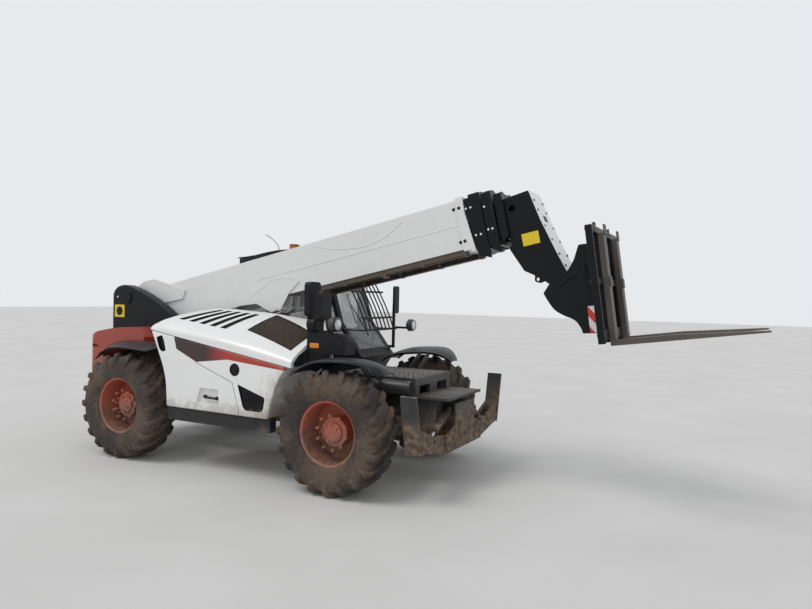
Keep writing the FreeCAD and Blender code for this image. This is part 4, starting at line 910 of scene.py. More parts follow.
def engineFittings():
    low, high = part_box("engine_block")
    lid = Plane((0, 0, 0), (1, 0, 0), (0, 1, 0), (0, 0, 1))
    inset, pipe, radius = engineSizes.inset, engineSizes.pipe, engineSizes.filter
    back, ahead = low[0] + engineSizes.back, high[0] - engineSizes.front
    yLow, yHigh = low[1] + inset, high[1] - inset
    foot, middle = high[2], (yLow + yHigh) / 2
    head = foot + engineSizes.rise
    cover = Shape().prism(lid, roundBox(back, yLow, ahead, yHigh, 0.04, 5), foot - 0.002, head, 0.94)
    for index in range(engineSizes.ribs):
        x = back + (ahead - back) * (index + 1) / (engineSizes.ribs + 1)
        half = engineSizes.rib
        cover.block(lid, x - half, yLow + 0.03, x + half, yHigh - 0.03, head - 0.004, head + 0.010)
        for y in (yLow + 0.012, yHigh - 0.012):
            cover.disc(lid, x, y, 0.010, foot, head + 0.006, 6)
    cover.disc(lid, ahead - 0.09, middle, 0.034, head - 0.004, head + 0.022, 20, 0.9)
    cover.finish("engine_rocker_cover", "plasticDark", 0.004)
    beside, under = low[1] - pipe * 0.8, foot - 0.10
    pipes = Shape().bar([(back, beside, under), (ahead + 0.12, beside, under)], pipe, 14)
    for index in range(engineSizes.branches):
        x = back + (ahead - back) * (index + 0.5) / engineSizes.branches
        pipes.bar([(x, beside, under), (x, low[1] + 0.01, foot - 0.03), (x, yLow + 0.02, foot + 0.012)],
                  pipe * 0.8, 12)
    pipes.finish("engine_manifold", "engineGrey", 0.0)
    centre = Vector((high[0] + engineSizes.filterAhead, middle, foot - 0.12))
    outline = [(share * radius, y) for share, y in engineSizes.filterShape]
    duct = Shape().turned(centre, (0, 1, 0), outline, 36)
    duct.bar([centre, centre + Vector((-0.01, -0.02, 0.11)), (high[0] - 0.06, middle - 0.03, foot + 0.045),
              (ahead - 0.03, middle - 0.03, foot + 0.020)], engineSizes.hose, 16)
    duct.finish("engine_air_filter", "headBlack", 0.0)


pod()
bonnet()
bonnetInserts()
engineFittings()
print("stage: hood")


# Weld beads, collar bolts, the hose rail under the boom and the small lugs on its collars.
boomTrim = SimpleNamespace(
    wall=0.265, bead=0.0045,
    arc=((2.782, 0.034), (3.047, -0.070), (3.353, -0.131), (3.525, -0.137), (3.715, -0.103), (3.939, 0.0)),
    seam=((1.95, -0.19), (4.565, -0.19)),
    gusset=((1.809, -0.367), (1.998, -0.307), (2.158, -0.243), (2.330, -0.237), (2.511, -0.284),
            (2.549, -0.326)),
    bolt=0.011, cap=0.012, cover=0.004, boss=(3.63, -0.509, 0.022, -0.262, -0.18),
    bracket=(4.38, 0.058, 4.62, 0.072),
    bracketTop=((4.42, 0.07), (4.60, 0.07), (4.585, 0.092), (4.44, 0.092)),
    lip=((4.648, -0.08), (4.648, -0.479), (4.698, -0.479)),
    bolts=((4.534, -0.021, 0.265), (4.600, -0.024, 0.285), (4.545, -0.360, 0.265), (4.600, -0.360, 0.285)),
    rail={"back": 2.6, "front": 4.6, "low": -0.497, "high": -0.435, "inner": 0.17, "outer": 0.25,
          "clips": (0.02, 0.26, 0.5, 0.74, 0.98), "hoses": (0.014, 0.030, 0.046)},
    # columns: collar's wall, top, foot, back and front, and where its pale plugs sit
    collars={"boom_second": (0.286, 0.081, -0.458, 4.71, 4.83,
                             ((4.672, -0.052), (4.722, -0.051), (4.726, -0.332), (4.778, -0.334))),
             "boom_third": (0.272, 0.067, -0.444, 4.875, 4.94,
                            ((4.856, -0.078), (4.856, -0.305), (4.900, -0.307))),
             "boom_fourth": (0.233, 0.028, -0.405, 4.99, 5.03, ())},
    covers={"boom_second": ((4.657, 0.045), (4.830, 0.060), (4.833, -0.400), (4.851, -0.520),
                            (4.846, -0.585), (4.719, -0.529)),
            "boom_third": ((4.838, 0.050), (4.888, 0.055), (4.944, -0.430), (4.957, -0.560),
                           (4.874, -0.507), (4.838, -0.440)),
            "boom_fourth": ((4.948, 0.022), (5.034, 0.022), (5.034, -0.400), (4.970, -0.455),
                            (4.948, -0.400))},
)


def boomFittings():
    wall, bead, rails = boomTrim.wall, boomTrim.bead, boomTrim.rail
    dip = smoothCurve(boomTrim.arc)
    first, last = boomTrim.arc[0][0], boomTrim.arc[-1][0]
    arc = [(u, dip(u)) for u in (first + (last - first) * step / 36 for step in range(37))]
    back, ahead, low, high = rails["back"], rails["front"], rails["low"], rails["high"]
    inner, outer = rails["inner"], rails["outer"]
    beads, lip, bolts, rail = Shape(), Shape(), Shape(), Shape()
    for wallSide in bothWays(boomSide):
        for line, depth in ((arc, wall), (boomTrim.seam, wall), (boomTrim.gusset, wall + 0.011)):
            beads.bar(wallSide.line(line, depth), bead, 8)
        for u, v, face in boomTrim.bolts:
            bolts.disc(wallSide, u, v, boomTrim.bolt * 1.5, face - 0.001, face + 0.003, 20)
            bolts.disc(wallSide, u, v, boomTrim.bolt, face, face + 0.010, 6)
        rail.block(wallSide, back, low, ahead, low + 0.008, inner, outer)
        rail.block(wallSide, back, low, ahead, high, outer - 0.008, outer)
        for share in rails["clips"]:
            u = back + (ahead - back) * share
            rail.block(wallSide, u - 0.02, low - 0.006, u + 0.02, high, inner, outer + 0.004)
        for rise in rails["hoses"]:
            hose = ((back - 0.25, high - 0.012), (back - 0.08, low + rise), (ahead - 0.02, low + rise))
            rail.bar(wallSide.line(hose, inner + 0.05), 0.007, 8)
        lip.prism(wallSide, boomTrim.lip, wall, wall + 0.02)
    rail.disc(boomSide, *boomTrim.boss, 20)
    beads.finish("boom_weld_beads", "boomGrey", 0.0, "boom")
    lip.finish("boom_mouth_lip", "boomGrey", 0.002, "boom")
    bolts.finish("boom_collar_bolts", "plasticDark", 0.001, "boom")
    rail.finish("boom_hose_rail", "railBrown", 0.002, "boom")
    bracket = Shape().block(boomSide, *boomTrim.bracket, -0.12, 0.12)
    bracket.prism(boomSide, boomTrim.bracketTop, -0.06, 0.06)
    bracket.finish("boom_top_bracket", "headBlack", 0.003, "boom")
    for body, sizes in boomTrim.collars.items():
        collarFittings(body, *sizes)


# What sits on a sliding section's collar: lugs on top, bolts, slanting covers and pale plugs.
def collarFittings(body, face, head, foot, back, ahead, plugs):
    collar, caps = Shape(), Shape()
    lug = [(back + 0.005, head - 0.002), (ahead - 0.005, head - 0.002), (ahead - 0.015, head + 0.024),
           (back + 0.015, head + 0.024)]
    for y in (-0.12, 0.12):
        collar.prism(boomSide, lug, y - 0.03, y + 0.03)
    collar.block(boomSide, back + 0.004, foot - 0.022, ahead - 0.004, foot + 0.002, -face * 0.75, face * 0.75)
    for wallSide in bothWays(boomSide):
        for v in (head - 0.09, foot + 0.08, (head + foot) / 2):
            collar.disc(wallSide, (back + ahead) / 2, v, 0.009, face - 0.001, face + 0.008, 6)
        # The far side's covers end at the collar's foot.
        cover = [(u, max(v, foot) if wallSide is boomSide else v)
                 for u, v in rounded(boomTrim.covers[body], 0.006, 3)]
        collar.prism(wallSide, cover, face, face + boomTrim.cover)
        for u, v in plugs:
            caps.disc(wallSide, u, v, boomTrim.cap, face + 0.003, face + 0.008, 20, 0.85)
    collar.finish(body + "_collar_lugs", "headBlack", 0.002, body)
    if plugs:
        caps.finish(body + "_plugs", "labelWhite", 0.001, body)


# The head: frame beads on its sides, a pale plate down its front, a yellow plate, hole rings.
headTrim = SimpleNamespace(
    wall=0.20, sheet=0.025, tilt=(5.446, -0.915, 0.068), eye=(5.222, -0.877, 0.030),
    outline=((5.032, -0.040), (5.291, -0.022), (5.352, -0.324), (5.435, -0.634), (5.512, -0.890),
             (5.518, -0.985, 0.09), (5.385, -0.988, 0.05), (5.352, -0.945), (5.276, -0.908),
             (5.240, -0.920, 0.03), (5.192, -0.892, 0.03), (5.200, -0.835), (5.108, -0.771),
             (5.000, -0.520, 0.03), (5.032, -0.500)),
    # outlines of the plates between the two sides: front, top, back, and a web
    plates=(((5.291, -0.024), (5.352, -0.324), (5.435, -0.634), (5.505, -0.870), (5.485, -0.872),
             (5.411, -0.634), (5.328, -0.324), (5.270, -0.040)),
            ((5.034, -0.042), (5.285, -0.024), (5.283, -0.044), (5.034, -0.062)),
            ((5.034, -0.045), (5.056, -0.045), (5.056, -0.495), (5.034, -0.495)),
            ((5.056, -0.420), (5.056, -0.445), (5.420, -0.620), (5.425, -0.595))),
    frame=((5.045, -0.500), (5.045, -0.100), (5.085, -0.075), (5.283, -0.060)),
    crease=((5.060, -0.363), (5.333, -0.361)),
    face=((5.291, -0.022), (5.352, -0.324), (5.435, -0.634), (5.507, -0.875)), thick=0.007,
    mark=((5.333, -0.270), (5.344, -0.330), (5.3625, -0.330), (5.3515, -0.270)),
    label=(5.146, -0.540, 5.313, -0.421), hole=(5.102, -0.150, 0.032),
    studs=((5.311, -0.12), (5.331, -0.22), (5.368, -0.385), (5.407, -0.53), (5.451, -0.68), (5.487, -0.80)),
)


# The head: a hollow welded box of two side plates, a front, a top and inner webs.
def head():
    wall, inner = headTrim.wall, headTrim.wall - headTrim.sheet
    eyeU, eyeV, eyeRadius = headTrim.eye
    box = Shape()
    for wallSide in bothWays(boomSide):
        box.prism(wallSide, rounded(headTrim.outline, 0.006, 6), inner, wall)
        box.disc(wallSide, eyeU, eyeV, eyeRadius, wall, wall + 0.004, 24)
    for plate in headTrim.plates:
        box.prism(boomSide, plate, -inner - 0.001, inner + 0.001)
    box.disc(boomSide, *headTrim.tilt, -inner - 0.001, inner + 0.001, 32)
    piece = box.build("boom_head_box")
    holes = Shape()
    for u, v, radius in (headTrim.hole, (eyeU, eyeV, 0.017)):
        holes.disc(boomSide, u, v, radius, -0.3, 0.3, 32)
    carve(piece, holes.build("holes"), "headBlack")
    dress(piece, "headBlack", 0.003, "boom_fourth", replaces=("boom_head",))


def headFittings():
    wall, face = headTrim.wall, headTrim.face
    u, v, radius = headTrim.hole
    collar = [(radius + 0.010, -0.001), (radius + 0.010, 0.005), (radius, 0.005), (radius, -0.001)]
    steel, labels, marks = Shape(), Shape(), Shape()
    for wallSide in bothWays(boomSide):
        for line in (headTrim.frame, headTrim.crease):
            steel.bar(wallSide.line(line, wall), 0.005, 8)
        steel.turned(wallSide.at(u, v, wall), wallSide.out, collar, 32)
        labels.block(wallSide, *headTrim.label, wall - 0.001, wall + 0.0015)
    steel.finish("head_side_beads", "headBlack", 0.001, "boom_fourth")
    labels.finish("head_yellow_plates", "labelYellow", 0.0, "boom_fourth")
    outline = [(u - 0.002, v) for u, v in face]
    outline += [(u + headTrim.thick, v + 0.001) for u, v in reversed(face)]
    plate = Shape().prism(boomSide, outline, -wall + 0.003, wall - 0.003)
    plate.finish("head_front_plate", "panelWhite", 0.002, "boom_fourth")
    for u, v in headTrim.studs:
        for y in (-0.15, 0.15):
            marks.block(boomSide, u + 0.002, v - 0.009, u + 0.014, v + 0.009, y - 0.009, y + 0.009)
    marks.prism(boomSide, headTrim.mark, -0.05, 0.05)
    marks.finish("head_front_marks", "plasticDark", 0.001, "boom_fourth")


# The carriage: its side plates, warning tape, pin heads with keepers, bolts and catches.
carriageTrim = SimpleNamespace(
    inner=0.206, slot=(0.236, 0.062, 0.0185, 0.043),
    outline=((0.268, 0.283), (0.194, 0.284), (0.137, 0.154), (0.085, 0.080), (0.050, 0.045),
             (-0.060, 0.030, 0.05), (-0.182, -0.121), (-0.138, -0.218, 0.05), (-0.092, -0.294, 0.05),
             (-0.013, -0.351, 0.05), (0.089, -0.400, 0.05), (0.135, -0.490, 0.03), (0.140, -0.531),
             (0.335, -0.545), (0.3447, -0.300), (0.3447, 0.180), (0.300, 0.230)),
    tubes=((0.240, -0.520, 0.344, -0.440), (0.240, 0.120, 0.344, 0.200), (0.060, -0.330, 0.140, -0.250)),
    wall=0.231, tape=(0.209, -0.532, 0.274, -0.288), pins=((0.0, 0.0, 0.066), (0.218, -0.016, 0.022)),
    keeper=(0.04, -0.014, 0.13, 0.014), keeperBolt=(0.112, 0.0, 0.008), boltY=(-0.60, -0.26, 0.26, 0.60),
    boltQ=(0.37, -0.09, -0.555), catchY=(-0.33, 0.33), catchQ=(0.415, -0.09),
)


# The carriage: two side plates joined by cross tubes and the tilt pin.
def carriage():
    inner, wall = carriageTrim.inner, carriageTrim.wall
    plates = Shape()
    for wallSide in bothWays(toolSide):
        plates.prism(wallSide, rounded(carriageTrim.outline, 0.012, 5), inner, wall)
    for tube in carriageTrim.tubes:
        plates.block(toolSide, *tube, -inner - 0.001, inner + 0.001)
    plates.disc(toolSide, 0.0, 0.0, 0.050, -wall, wall, 32)
    piece = plates.build("carriage_side_plates")
    p, q, half, rise = carriageTrim.slot
    outline = roundBox(p - half, q - rise, p + half, q + rise, half * 0.98, 8)
    slot = Shape().prism(toolSide, outline, -0.3, 0.3)
    carve(piece, slot.build("slot"), "headBlack")
    dress(piece, "headBlack", 0.003, "carriage", replaces=("tool_carrier",))


def carriageFittings():
    wall = carriageTrim.wall
    tape, pins, frameBolts = Shape(), Shape(), Shape()
    for wallSide in bothWays(toolSide):
        tape.block(wallSide, *carriageTrim.tape, wall - 0.001, wall + 0.0012)
        for p, q, radius in carriageTrim.pins:
            pins.disc(wallSide, p, q, radius, wall - 0.002, wall + 0.012, 32, 0.94)
            pins.disc(wallSide, p, q, radius * 0.35, wall, wall + 0.018, 6)
        pins.block(wallSide, *carriageTrim.keeper, wall, wall + 0.010)
        pins.disc(wallSide, *carriageTrim.keeperBolt, wall, wall + 0.017, 6)
    tape.finish("carriage_tape", "tapeRedWhite", 0.0, "carriage")
    pins.finish("carriage_pin_heads", "headBlack", 0.002, "carriage")
    for y in carriageTrim.boltY:
        for q in carriageTrim.boltQ:
            frameBolts.bar([toolSide.at(0.340, q, y), toolSide.at(0.347, q, y)], 0.014, 6)
    for y in carriageTrim.catchY:
        for q in carriageTrim.catchQ:
            frameBolts.bar([toolSide.at(0.372, q, y), toolSide.at(0.372, q + 0.035, y)], 0.016, 12)
            frameBolts.bar([toolSide.at(0.372, q + 0.03, y + shift) for shift in (-0.02, 0.02)], 0.006, 8)
    frameBolts.finish("fork_frame_bolts_and_catches", "forkIron", 0.001, "carriage")


boomFittings()
head()
headFittings()
carriage()
carriageFittings()
print("stage: boom and carriage fittings")


# On both uprights a yellow plate, a plug and the boom pin's cap; behind, two lamps of three lenses.
tailSizes = SimpleNamespace(
    wall=0.45, dot=(-2.333, 1.827, 0.012), plate=(-2.384, 1.566, -2.207, 1.725), mark=0.0576, cap=0.075,
    capBolts=(0.055, 0.008), lamp=(0.56, 1.0, 0.13, 0.045), lens=(0.034, 0.087, 0.086),
)


def tailFittings():
    wall = tailSizes.wall
    xLow, zLow, xHigh, zHigh = tailSizes.plate
    middle = ((xLow + xHigh) / 2, (zLow + zHigh) / 2)
    pivot = (boomSizes.pivotX, boomSizes.pivotZ)
    ring, bolt = tailSizes.capBolts
    plates, faces, plugs, pins, housings = Shape(), Shape(), Shape(), Shape(), Shape()
    for wallSide in bothWays(side):
        plates.block(wallSide, *tailSizes.plate, wall - 0.001, wall + 0.002)
        faces.disc(wallSide, *middle, tailSizes.mark, wall + 0.001, wall + 0.003, 32)
        plugs.disc(wallSide, *tailSizes.dot, wall - 0.001, wall + 0.006, 20, 0.85)
        pins.disc(wallSide, *pivot, tailSizes.cap, wall - 0.002, wall + 0.014, 36, 0.95)
        for spot in ringOutline(*pivot, ring, 6):
            pins.disc(wallSide, *spot, bolt, wall + 0.010, wall + 0.022, 6)
    plates.finish("upright_yellow_plates", "labelYellow", 0.0)
    faces.finish("upright_plate_faces", "uprightBlack", 0.0)
    plugs.finish("upright_plugs", "labelWhite", 0.001)
    pins.finish("boom_pivot_caps", "uprightBlack", 0.002)
    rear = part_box("counterweight")[0][0] + middleX
    lenses = {"redLens": Shape(), "amberLens": Shape(), "lampLens": Shape()}
    lampY, lampZ, halfY, halfZ = tailSizes.lamp
    radius, outermost, pitch = tailSizes.lens
    for sign in (1, -1):
        y = sign * lampY
        housings.prism(front, roundBox(y - halfY, lampZ - halfZ, y + halfY, lampZ + halfZ, 0.012, 4),
                       rear - 0.006, rear + 0.01)
        for number, name in enumerate(("amberLens", "redLens", "lampLens")):
            spot = y + sign * (outermost - number * pitch)
            lenses[name].disc(front, spot, lampZ, radius, rear - 0.010, rear - 0.004, 28)
    housings.finish("tail_lamp_housings", "plasticDark", 0.003)
    for name, lens in lenses.items():
        lens.finish("tail_lens_" + name, name, 0.003)


# Mirrors, work lamps and the amber indicator on their arms ahead of the hood.
mirrorSizes = SimpleNamespace(
    # columns: rear face x, y from, y to, z from, z to
    glasses=((0.956, -0.92, -0.72, 1.69, 2.04), (1.11, -0.92, -0.74, 1.65, 1.95),
             (0.86, 1.125, 1.245, 1.69, 2.04)),
    lamps=((1.315, -0.845, 1.62), (1.14, 1.18, 1.545)), lens=0.055, inset=0.016,
    lensShape=((0.0, -0.004), (1.0, -0.004), (1.0, 0.003), (0.75, 0.009), (0.4, 0.013), (0.0, 0.014)),
    rim=((0.055, -0.004), (0.068, -0.006), (0.068, 0.004), (0.059, 0.008), (0.055, 0.005)),
    fin=((0.05, -0.003), (0.0765, -0.003), (0.0765, 0.003), (0.05, 0.003)),
    indicator=(1.01, 1.375, 1.12, 1.425), face=-0.88, ribX=(1.15, 1.36), ribZ=(1.352, 1.372, 1.392),
    bolts=((1.005, 1.345), (1.005, 1.51), (1.335, 1.50), (1.40, 1.345)),
)


def mirrorFittings():
    glass, lenses, rims = Shape(), Shape(), Shape()
    for x, yLow, yHigh, zLow, zHigh in mirrorSizes.glasses:
        inset = mirrorSizes.inset
        outline = roundBox(yLow + inset, zLow + inset, yHigh - inset, zHigh - inset, 0.028, 6)
        glass.prism(front, outline, x - 0.0005, x + 0.002)
    glass.finish("mirror_glasses", "mirrorSilver", 0.0)
    radius = mirrorSizes.lens
    for x, y, z in mirrorSizes.lamps:
        centre = side.at(x, z, y)
        lenses.turned(centre, (1, 0, 0), [(radius * share, out) for share, out in mirrorSizes.lensShape], 36)
        rims.turned(centre, (1, 0, 0), mirrorSizes.rim, 36)
        for fin in range(4):
            rims.turned(side.at(x - 0.02 - fin * 0.014, z, y), (1, 0, 0), mirrorSizes.fin, 36)
    lenses.finish("work_lamp_lenses", "lampLens", 0.0)
    rims.finish("work_lamp_rims", "engineGrey", 0.001)
    face = mirrorSizes.face
    amber = Shape().prism(side, roundBox(*mirrorSizes.indicator, 0.015, 5), face - 0.010, face + 0.002)
    amber.finish("front_indicator", "amberLens", 0.004)
    casing = Shape()
    for z in mirrorSizes.ribZ:
        casing.bar([side.at(x, z, face) for x in mirrorSizes.ribX], 0.004, 6)
    for spot in mirrorSizes.bolts:
        casing.disc(side, *spot, 0.007, face - 0.005, face + 0.002, 6)
    casing.finish("lamp_case_ribs", "plasticDark", 0.001)


# The cab: wheel, lever, armrests, aerial, door pull and lock.
cabSizes = SimpleNamespace(
    wheel=(0.28, 1.33, 0.73), wheelRadius=0.19, rimRadius=0.014, lean=(-0.42, 0.0, 0.91),
    hub=((0.0, -0.03), (0.045, -0.03), (0.04, 0.006), (0.0, 0.012)),
    knob=((0.0, -0.04), (0.012, -0.04), (0.02, -0.01), (0.018, 0.012), (0.0, 0.018)),
    # columns: back, inner side, front and outer side of each armrest
    armrests=((-0.46, 0.45, -0.09, 0.55), (-0.46, 0.91, -0.14, 1.0)), armrestZ=1.30, armFeet=(0.50, 0.955),
    armBars=((-0.42, 1.26), (-0.50, 1.14)), stick=(-0.16, 1.30, 0.50),
    lever=((0.0, -0.005), (0.045, -0.005), (0.035, 0.02), (0.012, 0.05), (0.011, 0.10), (0.024, 0.13),
           (0.026, 0.18), (0.016, 0.20), (0.0, 0.203)),
    aerialY=0.60,
    aerial=((-0.555, 2.445), (-0.562, 2.49), (-0.582, 2.54), (-0.628, 2.59), (-0.702, 2.645), (-0.793, 2.69)),
    aerialFoot=((0.0, -0.01), (0.02, -0.01), (0.016, 0.015), (0.0, 0.03)), aerialFootZ=2.452,
    pull=((1.02, -0.004), (1.03, 0.035), (1.19, 0.035), (1.20, -0.004)), pullX=0.335, pullFace=1.13,
    lock=(0.305, 0.90, 0.365, 0.99),
)


def cabFittings():
    centre, lean = side.at(*cabSizes.wheel), Vector(cabSizes.lean).normalized()
    radius, rim, across = cabSizes.wheelRadius, cabSizes.rimRadius, Vector((0, 1, 0))
    ahead = lean.cross(across).normalized()
    wheel = Shape().turned(centre, lean, ringOutline(radius, 0, rim, 8), 48)
    wheel.turned(centre, lean, cabSizes.hub, 28)
    for angle in (90, 210, 330):
        turn = radians(angle)
        ray = ahead * cos(turn) + across * sin(turn)
        wheel.bar([centre - lean * 0.012 + ray * 0.03, centre - lean * 0.008 + ray * radius], 0.011, 8)
    wheel.bar([centre, centre - lean * 0.14], 0.028, 16)
    wheel.turned(centre + ahead * radius * 0.8 + lean * 0.045, lean, cabSizes.knob, 20)
    wheel.finish("steering_wheel", "plasticDark", 0.0)
    arms = Shape()
    height = cabSizes.armrestZ
    for armrest in cabSizes.armrests:
        arms.prism(top, roundBox(*armrest, 0.02, 4), height - 0.05, height, 0.94)
    for y in cabSizes.armFeet:
        arms.bar(side.line(cabSizes.armBars, y), 0.018, 10)
    arms.turned(side.at(*cabSizes.stick), (0, 0, 1), cabSizes.lever, 24)
    arms.finish("armrests_and_lever", "plasticDark", 0.003)
    x, face, aerialY = cabSizes.pullX, cabSizes.pullFace, cabSizes.aerialY
    outside = Shape().bar(side.line(cabSizes.aerial, aerialY), 0.004, 8)
    foot = side.at(cabSizes.aerial[0][0], cabSizes.aerialFootZ, aerialY)
    outside.turned(foot, (0, 0, 1), cabSizes.aerialFoot, 16)
    outside.bar([side.at(x, z, face + out) for z, out in cabSizes.pull], 0.010, 10)
    outside.finish("aerial_and_door_pull", "plasticDark", 0.0)
    lock = Shape().prism(side, roundBox(*cabSizes.lock, 0.01, 4), face - 0.002, face + 0.012, 0.9)
    lock.finish("door_lock_plate", "plasticDark", 0.002, "cab_side_door")


# The cab's roof: a rounded plastic cap that falls away to the back, with ribs along it.
roofSizes = SimpleNamespace(
    outline=((-1.035, 2.364), (-1.035, 2.374), (-0.90, 2.384), (-0.73, 2.405), (-0.56, 2.438),
             (-0.38, 2.462), (-0.20, 2.470), (0.23, 2.470), (0.33, 2.425), (0.358, 2.364)),
    inner=0.334, outer=1.118, edge=0.022, ribs=(0.48, 0.66, 0.84, 0.98),
    rib=((-0.30, 2.458), (0.16, 2.468), (0.13, 2.476), (-0.24, 2.476)),
)


def roof():
    cap = Shape().prism(side, roofSizes.outline, roofSizes.inner, roofSizes.outer)
    cap.finish("cab_roof_cap", "plasticDark", roofSizes.edge, segments=4, replaces=("cab_roof",))
    ribs = Shape()
    for y in roofSizes.ribs:
        ribs.prism(side, roofSizes.rib, y - 0.012, y + 0.012)
    ribs.finish("cab_roof_ribs", "plasticDark", 0.003)


# Front mudguards: crowned sheets that follow the tyre, with a rolled edge and two brackets each.
guardSizes = SimpleNamespace(
    axle=(1.425, 0.60), inner=0.70, middle=0.90, thick=0.008, steps=30, lip=0.016,
    # columns: distance from the axle, inner height, crown height, outer height, outer reach
    rows=((-0.47, 0.525, 0.545, 0.530, 1.14), (-0.40, 0.575, 0.600, 0.585, 1.14),
          (-0.30, 0.612, 0.650, 0.640, 1.14), (-0.18, 0.635, 0.685, 0.680, 1.14),
          (-0.05, 0.650, 0.700, 0.695, 1.14), (0.10, 0.660, 0.705, 0.700, 1.14),
          (0.22, 0.655, 0.700, 0.695, 1.11), (0.32, 0.635, 0.670, 0.665, 1.04),
          (0.40, 0.600, 0.630, 0.620, 0.96), (0.45, 0.560, 0.575, 0.570, 0.90)),
    bracket=((0.434, 1.04), (0.434, 1.10), (0.655, 1.252), (0.735, 1.256), (0.735, 1.244), (0.52, 1.06)),
    bracketX=(1.47, 1.58),
)


def frontGuards():
    table = guardSizes.rows
    curves = [smoothCurve([(row[0], row[column]) for row in table]) for column in range(1, 5)]
    axleX, axleZ = guardSizes.axle
    inner, lip, steps = guardSizes.inner, guardSizes.lip, guardSizes.steps
    first, last = table[0][0], table[-1][0]
    guards = Shape()
    for half in bothWays(side):
        rows = []
        for step in range(steps + 1):
            x = first + (last - first) * step / steps
            low, crown, high, reach = (curve(x) for curve in curves)
            middle = min(guardSizes.middle, (inner + reach) / 2)
            profile = ((inner, low - lip), (inner, low), ((inner + middle) / 2, (low + crown) / 2 + 0.008),
                       (middle, crown), ((middle + reach) / 2, (crown + high) / 2 + 0.003),
                       (reach - 0.01, high), (reach, high - lip))
            row = [half.at(axleX + x, axleZ + z, y) for y, z in profile]
            rows.append(row + [spot - Vector((0, 0, guardSizes.thick)) for spot in reversed(row)])
        guards.loft(rows)
        for x in guardSizes.bracketX:
            bracket = guardSizes.bracket
            guards.loft([[half.at(place, z, y) for y, z in bracket] for place in (x, x + 0.012)])
    guards.finish("front_guards", "fenderBlack", 0.0, replaces=("front_fenders",))


# A dark dash panel behind the foot of the windscreen, and the wiper before the glass.
dashSizes = SimpleNamespace(
    panels=((((0.80, 1.275), (0.62, 1.490), (0.60, 1.480), (0.60, 1.275)), 0.42, 1.04),
            (((0.62, 1.490), (0.60, 1.515), (0.46, 1.500), (0.46, 1.46), (0.60, 1.46)), 0.44, 1.02)),
    arm=((0.700, 1.415, 0.80), (0.690, 1.450, 0.80), (0.545, 1.790, 0.62)),
    blade=((0.640, 1.560, 0.60), (0.470, 1.930, 0.64)),
)


def dashAndWiper():
    dash, wiper = Shape(), Shape()
    for outline, inner, outer in dashSizes.panels:
        dash.prism(side, outline, inner, outer)
    dash.finish("dash_panel", "plasticDark", 0.004)
    wiper.bar(side.line(dashSizes.arm), 0.006, 8)
    wiper.bar(side.line(dashSizes.blade), 0.005, 6)
    wiper.finish("windscreen_wiper", "plasticDark", 0.0)


# The beacon on the roof: a ribbed amber drum between a black foot and a black cap.
# Ends: height from the drum's foot or head, then radii below and above, and the crown's rise.
beaconSizes = SimpleNamespace(
    drum=0.066, neck=0.062, groove=0.063, rings=7, sides=40, foot=(-0.001, 0.078, 0.018, 0.074, 0.018),
    cap=(-0.014, 0.066, 0.0, 0.060, 0.004),
)


def beacon():
    low, high = (Vector(corner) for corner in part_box("roof_lights"))
    foot, head, rings = low.z, high.z, beaconSizes.rings
    drum, sides = beaconSizes.drum, beaconSizes.sides
    centre = (low + high) / 2
    centre.z = 0
    black = Shape()
    for base, ends in ((foot, beaconSizes.foot), (head, beaconSizes.cap)):
        under, wide, over, narrow, crown = ends
        black.turned(centre, (0, 0, 1), [(0.0, base + under), (wide, base + under), (narrow, base + over),
                                         (0.0, base + crown)], sides)
    black.finish("beacon_foot_and_cap", "plasticDark", 0.002)
    outline = [(0.0, foot + 0.016), (drum, foot + 0.016)]
    for ring in range(rings):
        z = foot + 0.018 + (head - foot - 0.034) * (ring + 0.5) / rings
        outline += [(drum, z - 0.003), (beaconSizes.groove, z), (drum, z + 0.003)]
    outline += [(beaconSizes.neck, head - 0.013), (0.0, head - 0.013)]
    drums = Shape().turned(centre, (0, 0, 1), outline, sides)
    drums.finish("beacon_drum", "amberLens", replaces=("roof_lights",))


# The deck's tread plate with staggered ribs, its bolts and the filler cap.
deckSizes = SimpleNamespace(
    plate=(1.08, -0.40, 1.95, 0.40), z=1.09, bolts=(1.10, 0.105, 9), ribs=(1.14, 0.055, 15),
    ribRows=(-0.34, -0.285, -0.23, -0.175, -0.12, -0.065, -0.01, 0.045), stagger=0.027, ribHalf=0.014,
    boltY=(-0.385, 0.385), filler=(1.30, -0.43, 1.065),
)


def rowOf(shape, name, material, pitch, count, bevel):
    values = {"Count": count, "Step": (pitch, 0.0, 0.0), "Material": materials[material]}
    piece = repeat(shape.build(name), "row", values)
    dress(piece, material, bevel)


def deckFittings():
    low, half = deckSizes.z - 0.001, deckSizes.ribHalf
    deck = Shape().prism(top, roundBox(*deckSizes.plate, 0.02, 4), low, low + 0.005)
    deck.finish("deck_tread_plate", "deckGrey", 0.001)
    ribs, bolts, cap = Shape(), Shape(), Shape()
    z = low + 0.0045
    start, pitch, count = deckSizes.ribs
    for number, y in enumerate(deckSizes.ribRows):
        middle, lean = start + deckSizes.stagger * (number % 2), half * (1 if number % 2 else -1)
        ribs.bar([top.at(middle - half, y - lean, z), top.at(middle + half, y + lean, z)], 0.004, 6)
    rowOf(ribs, "deck_tread_ribs", "deckGrey", pitch, count, 0.0)
    start, pitch, count = deckSizes.bolts
    for y in deckSizes.boltY:
        bolts.disc(top, start, y, 0.010, z - 0.003, z + 0.008, 6)
    rowOf(bolts, "deck_bolts", "frameBlack", pitch, count, 0.001)
    x, y, height = deckSizes.filler
    cap.disc(top, x, y, 0.045, height - 0.02, height + 0.03, 28, 0.93)
    for spot in ringOutline(x, y, 0.042, 8):
        cap.bar([top.at(*spot, height - 0.01), top.at(*spot, height + 0.026)], 0.006, 6)
    cap.finish("deck_filler_cap", "plasticDark", 0.003)


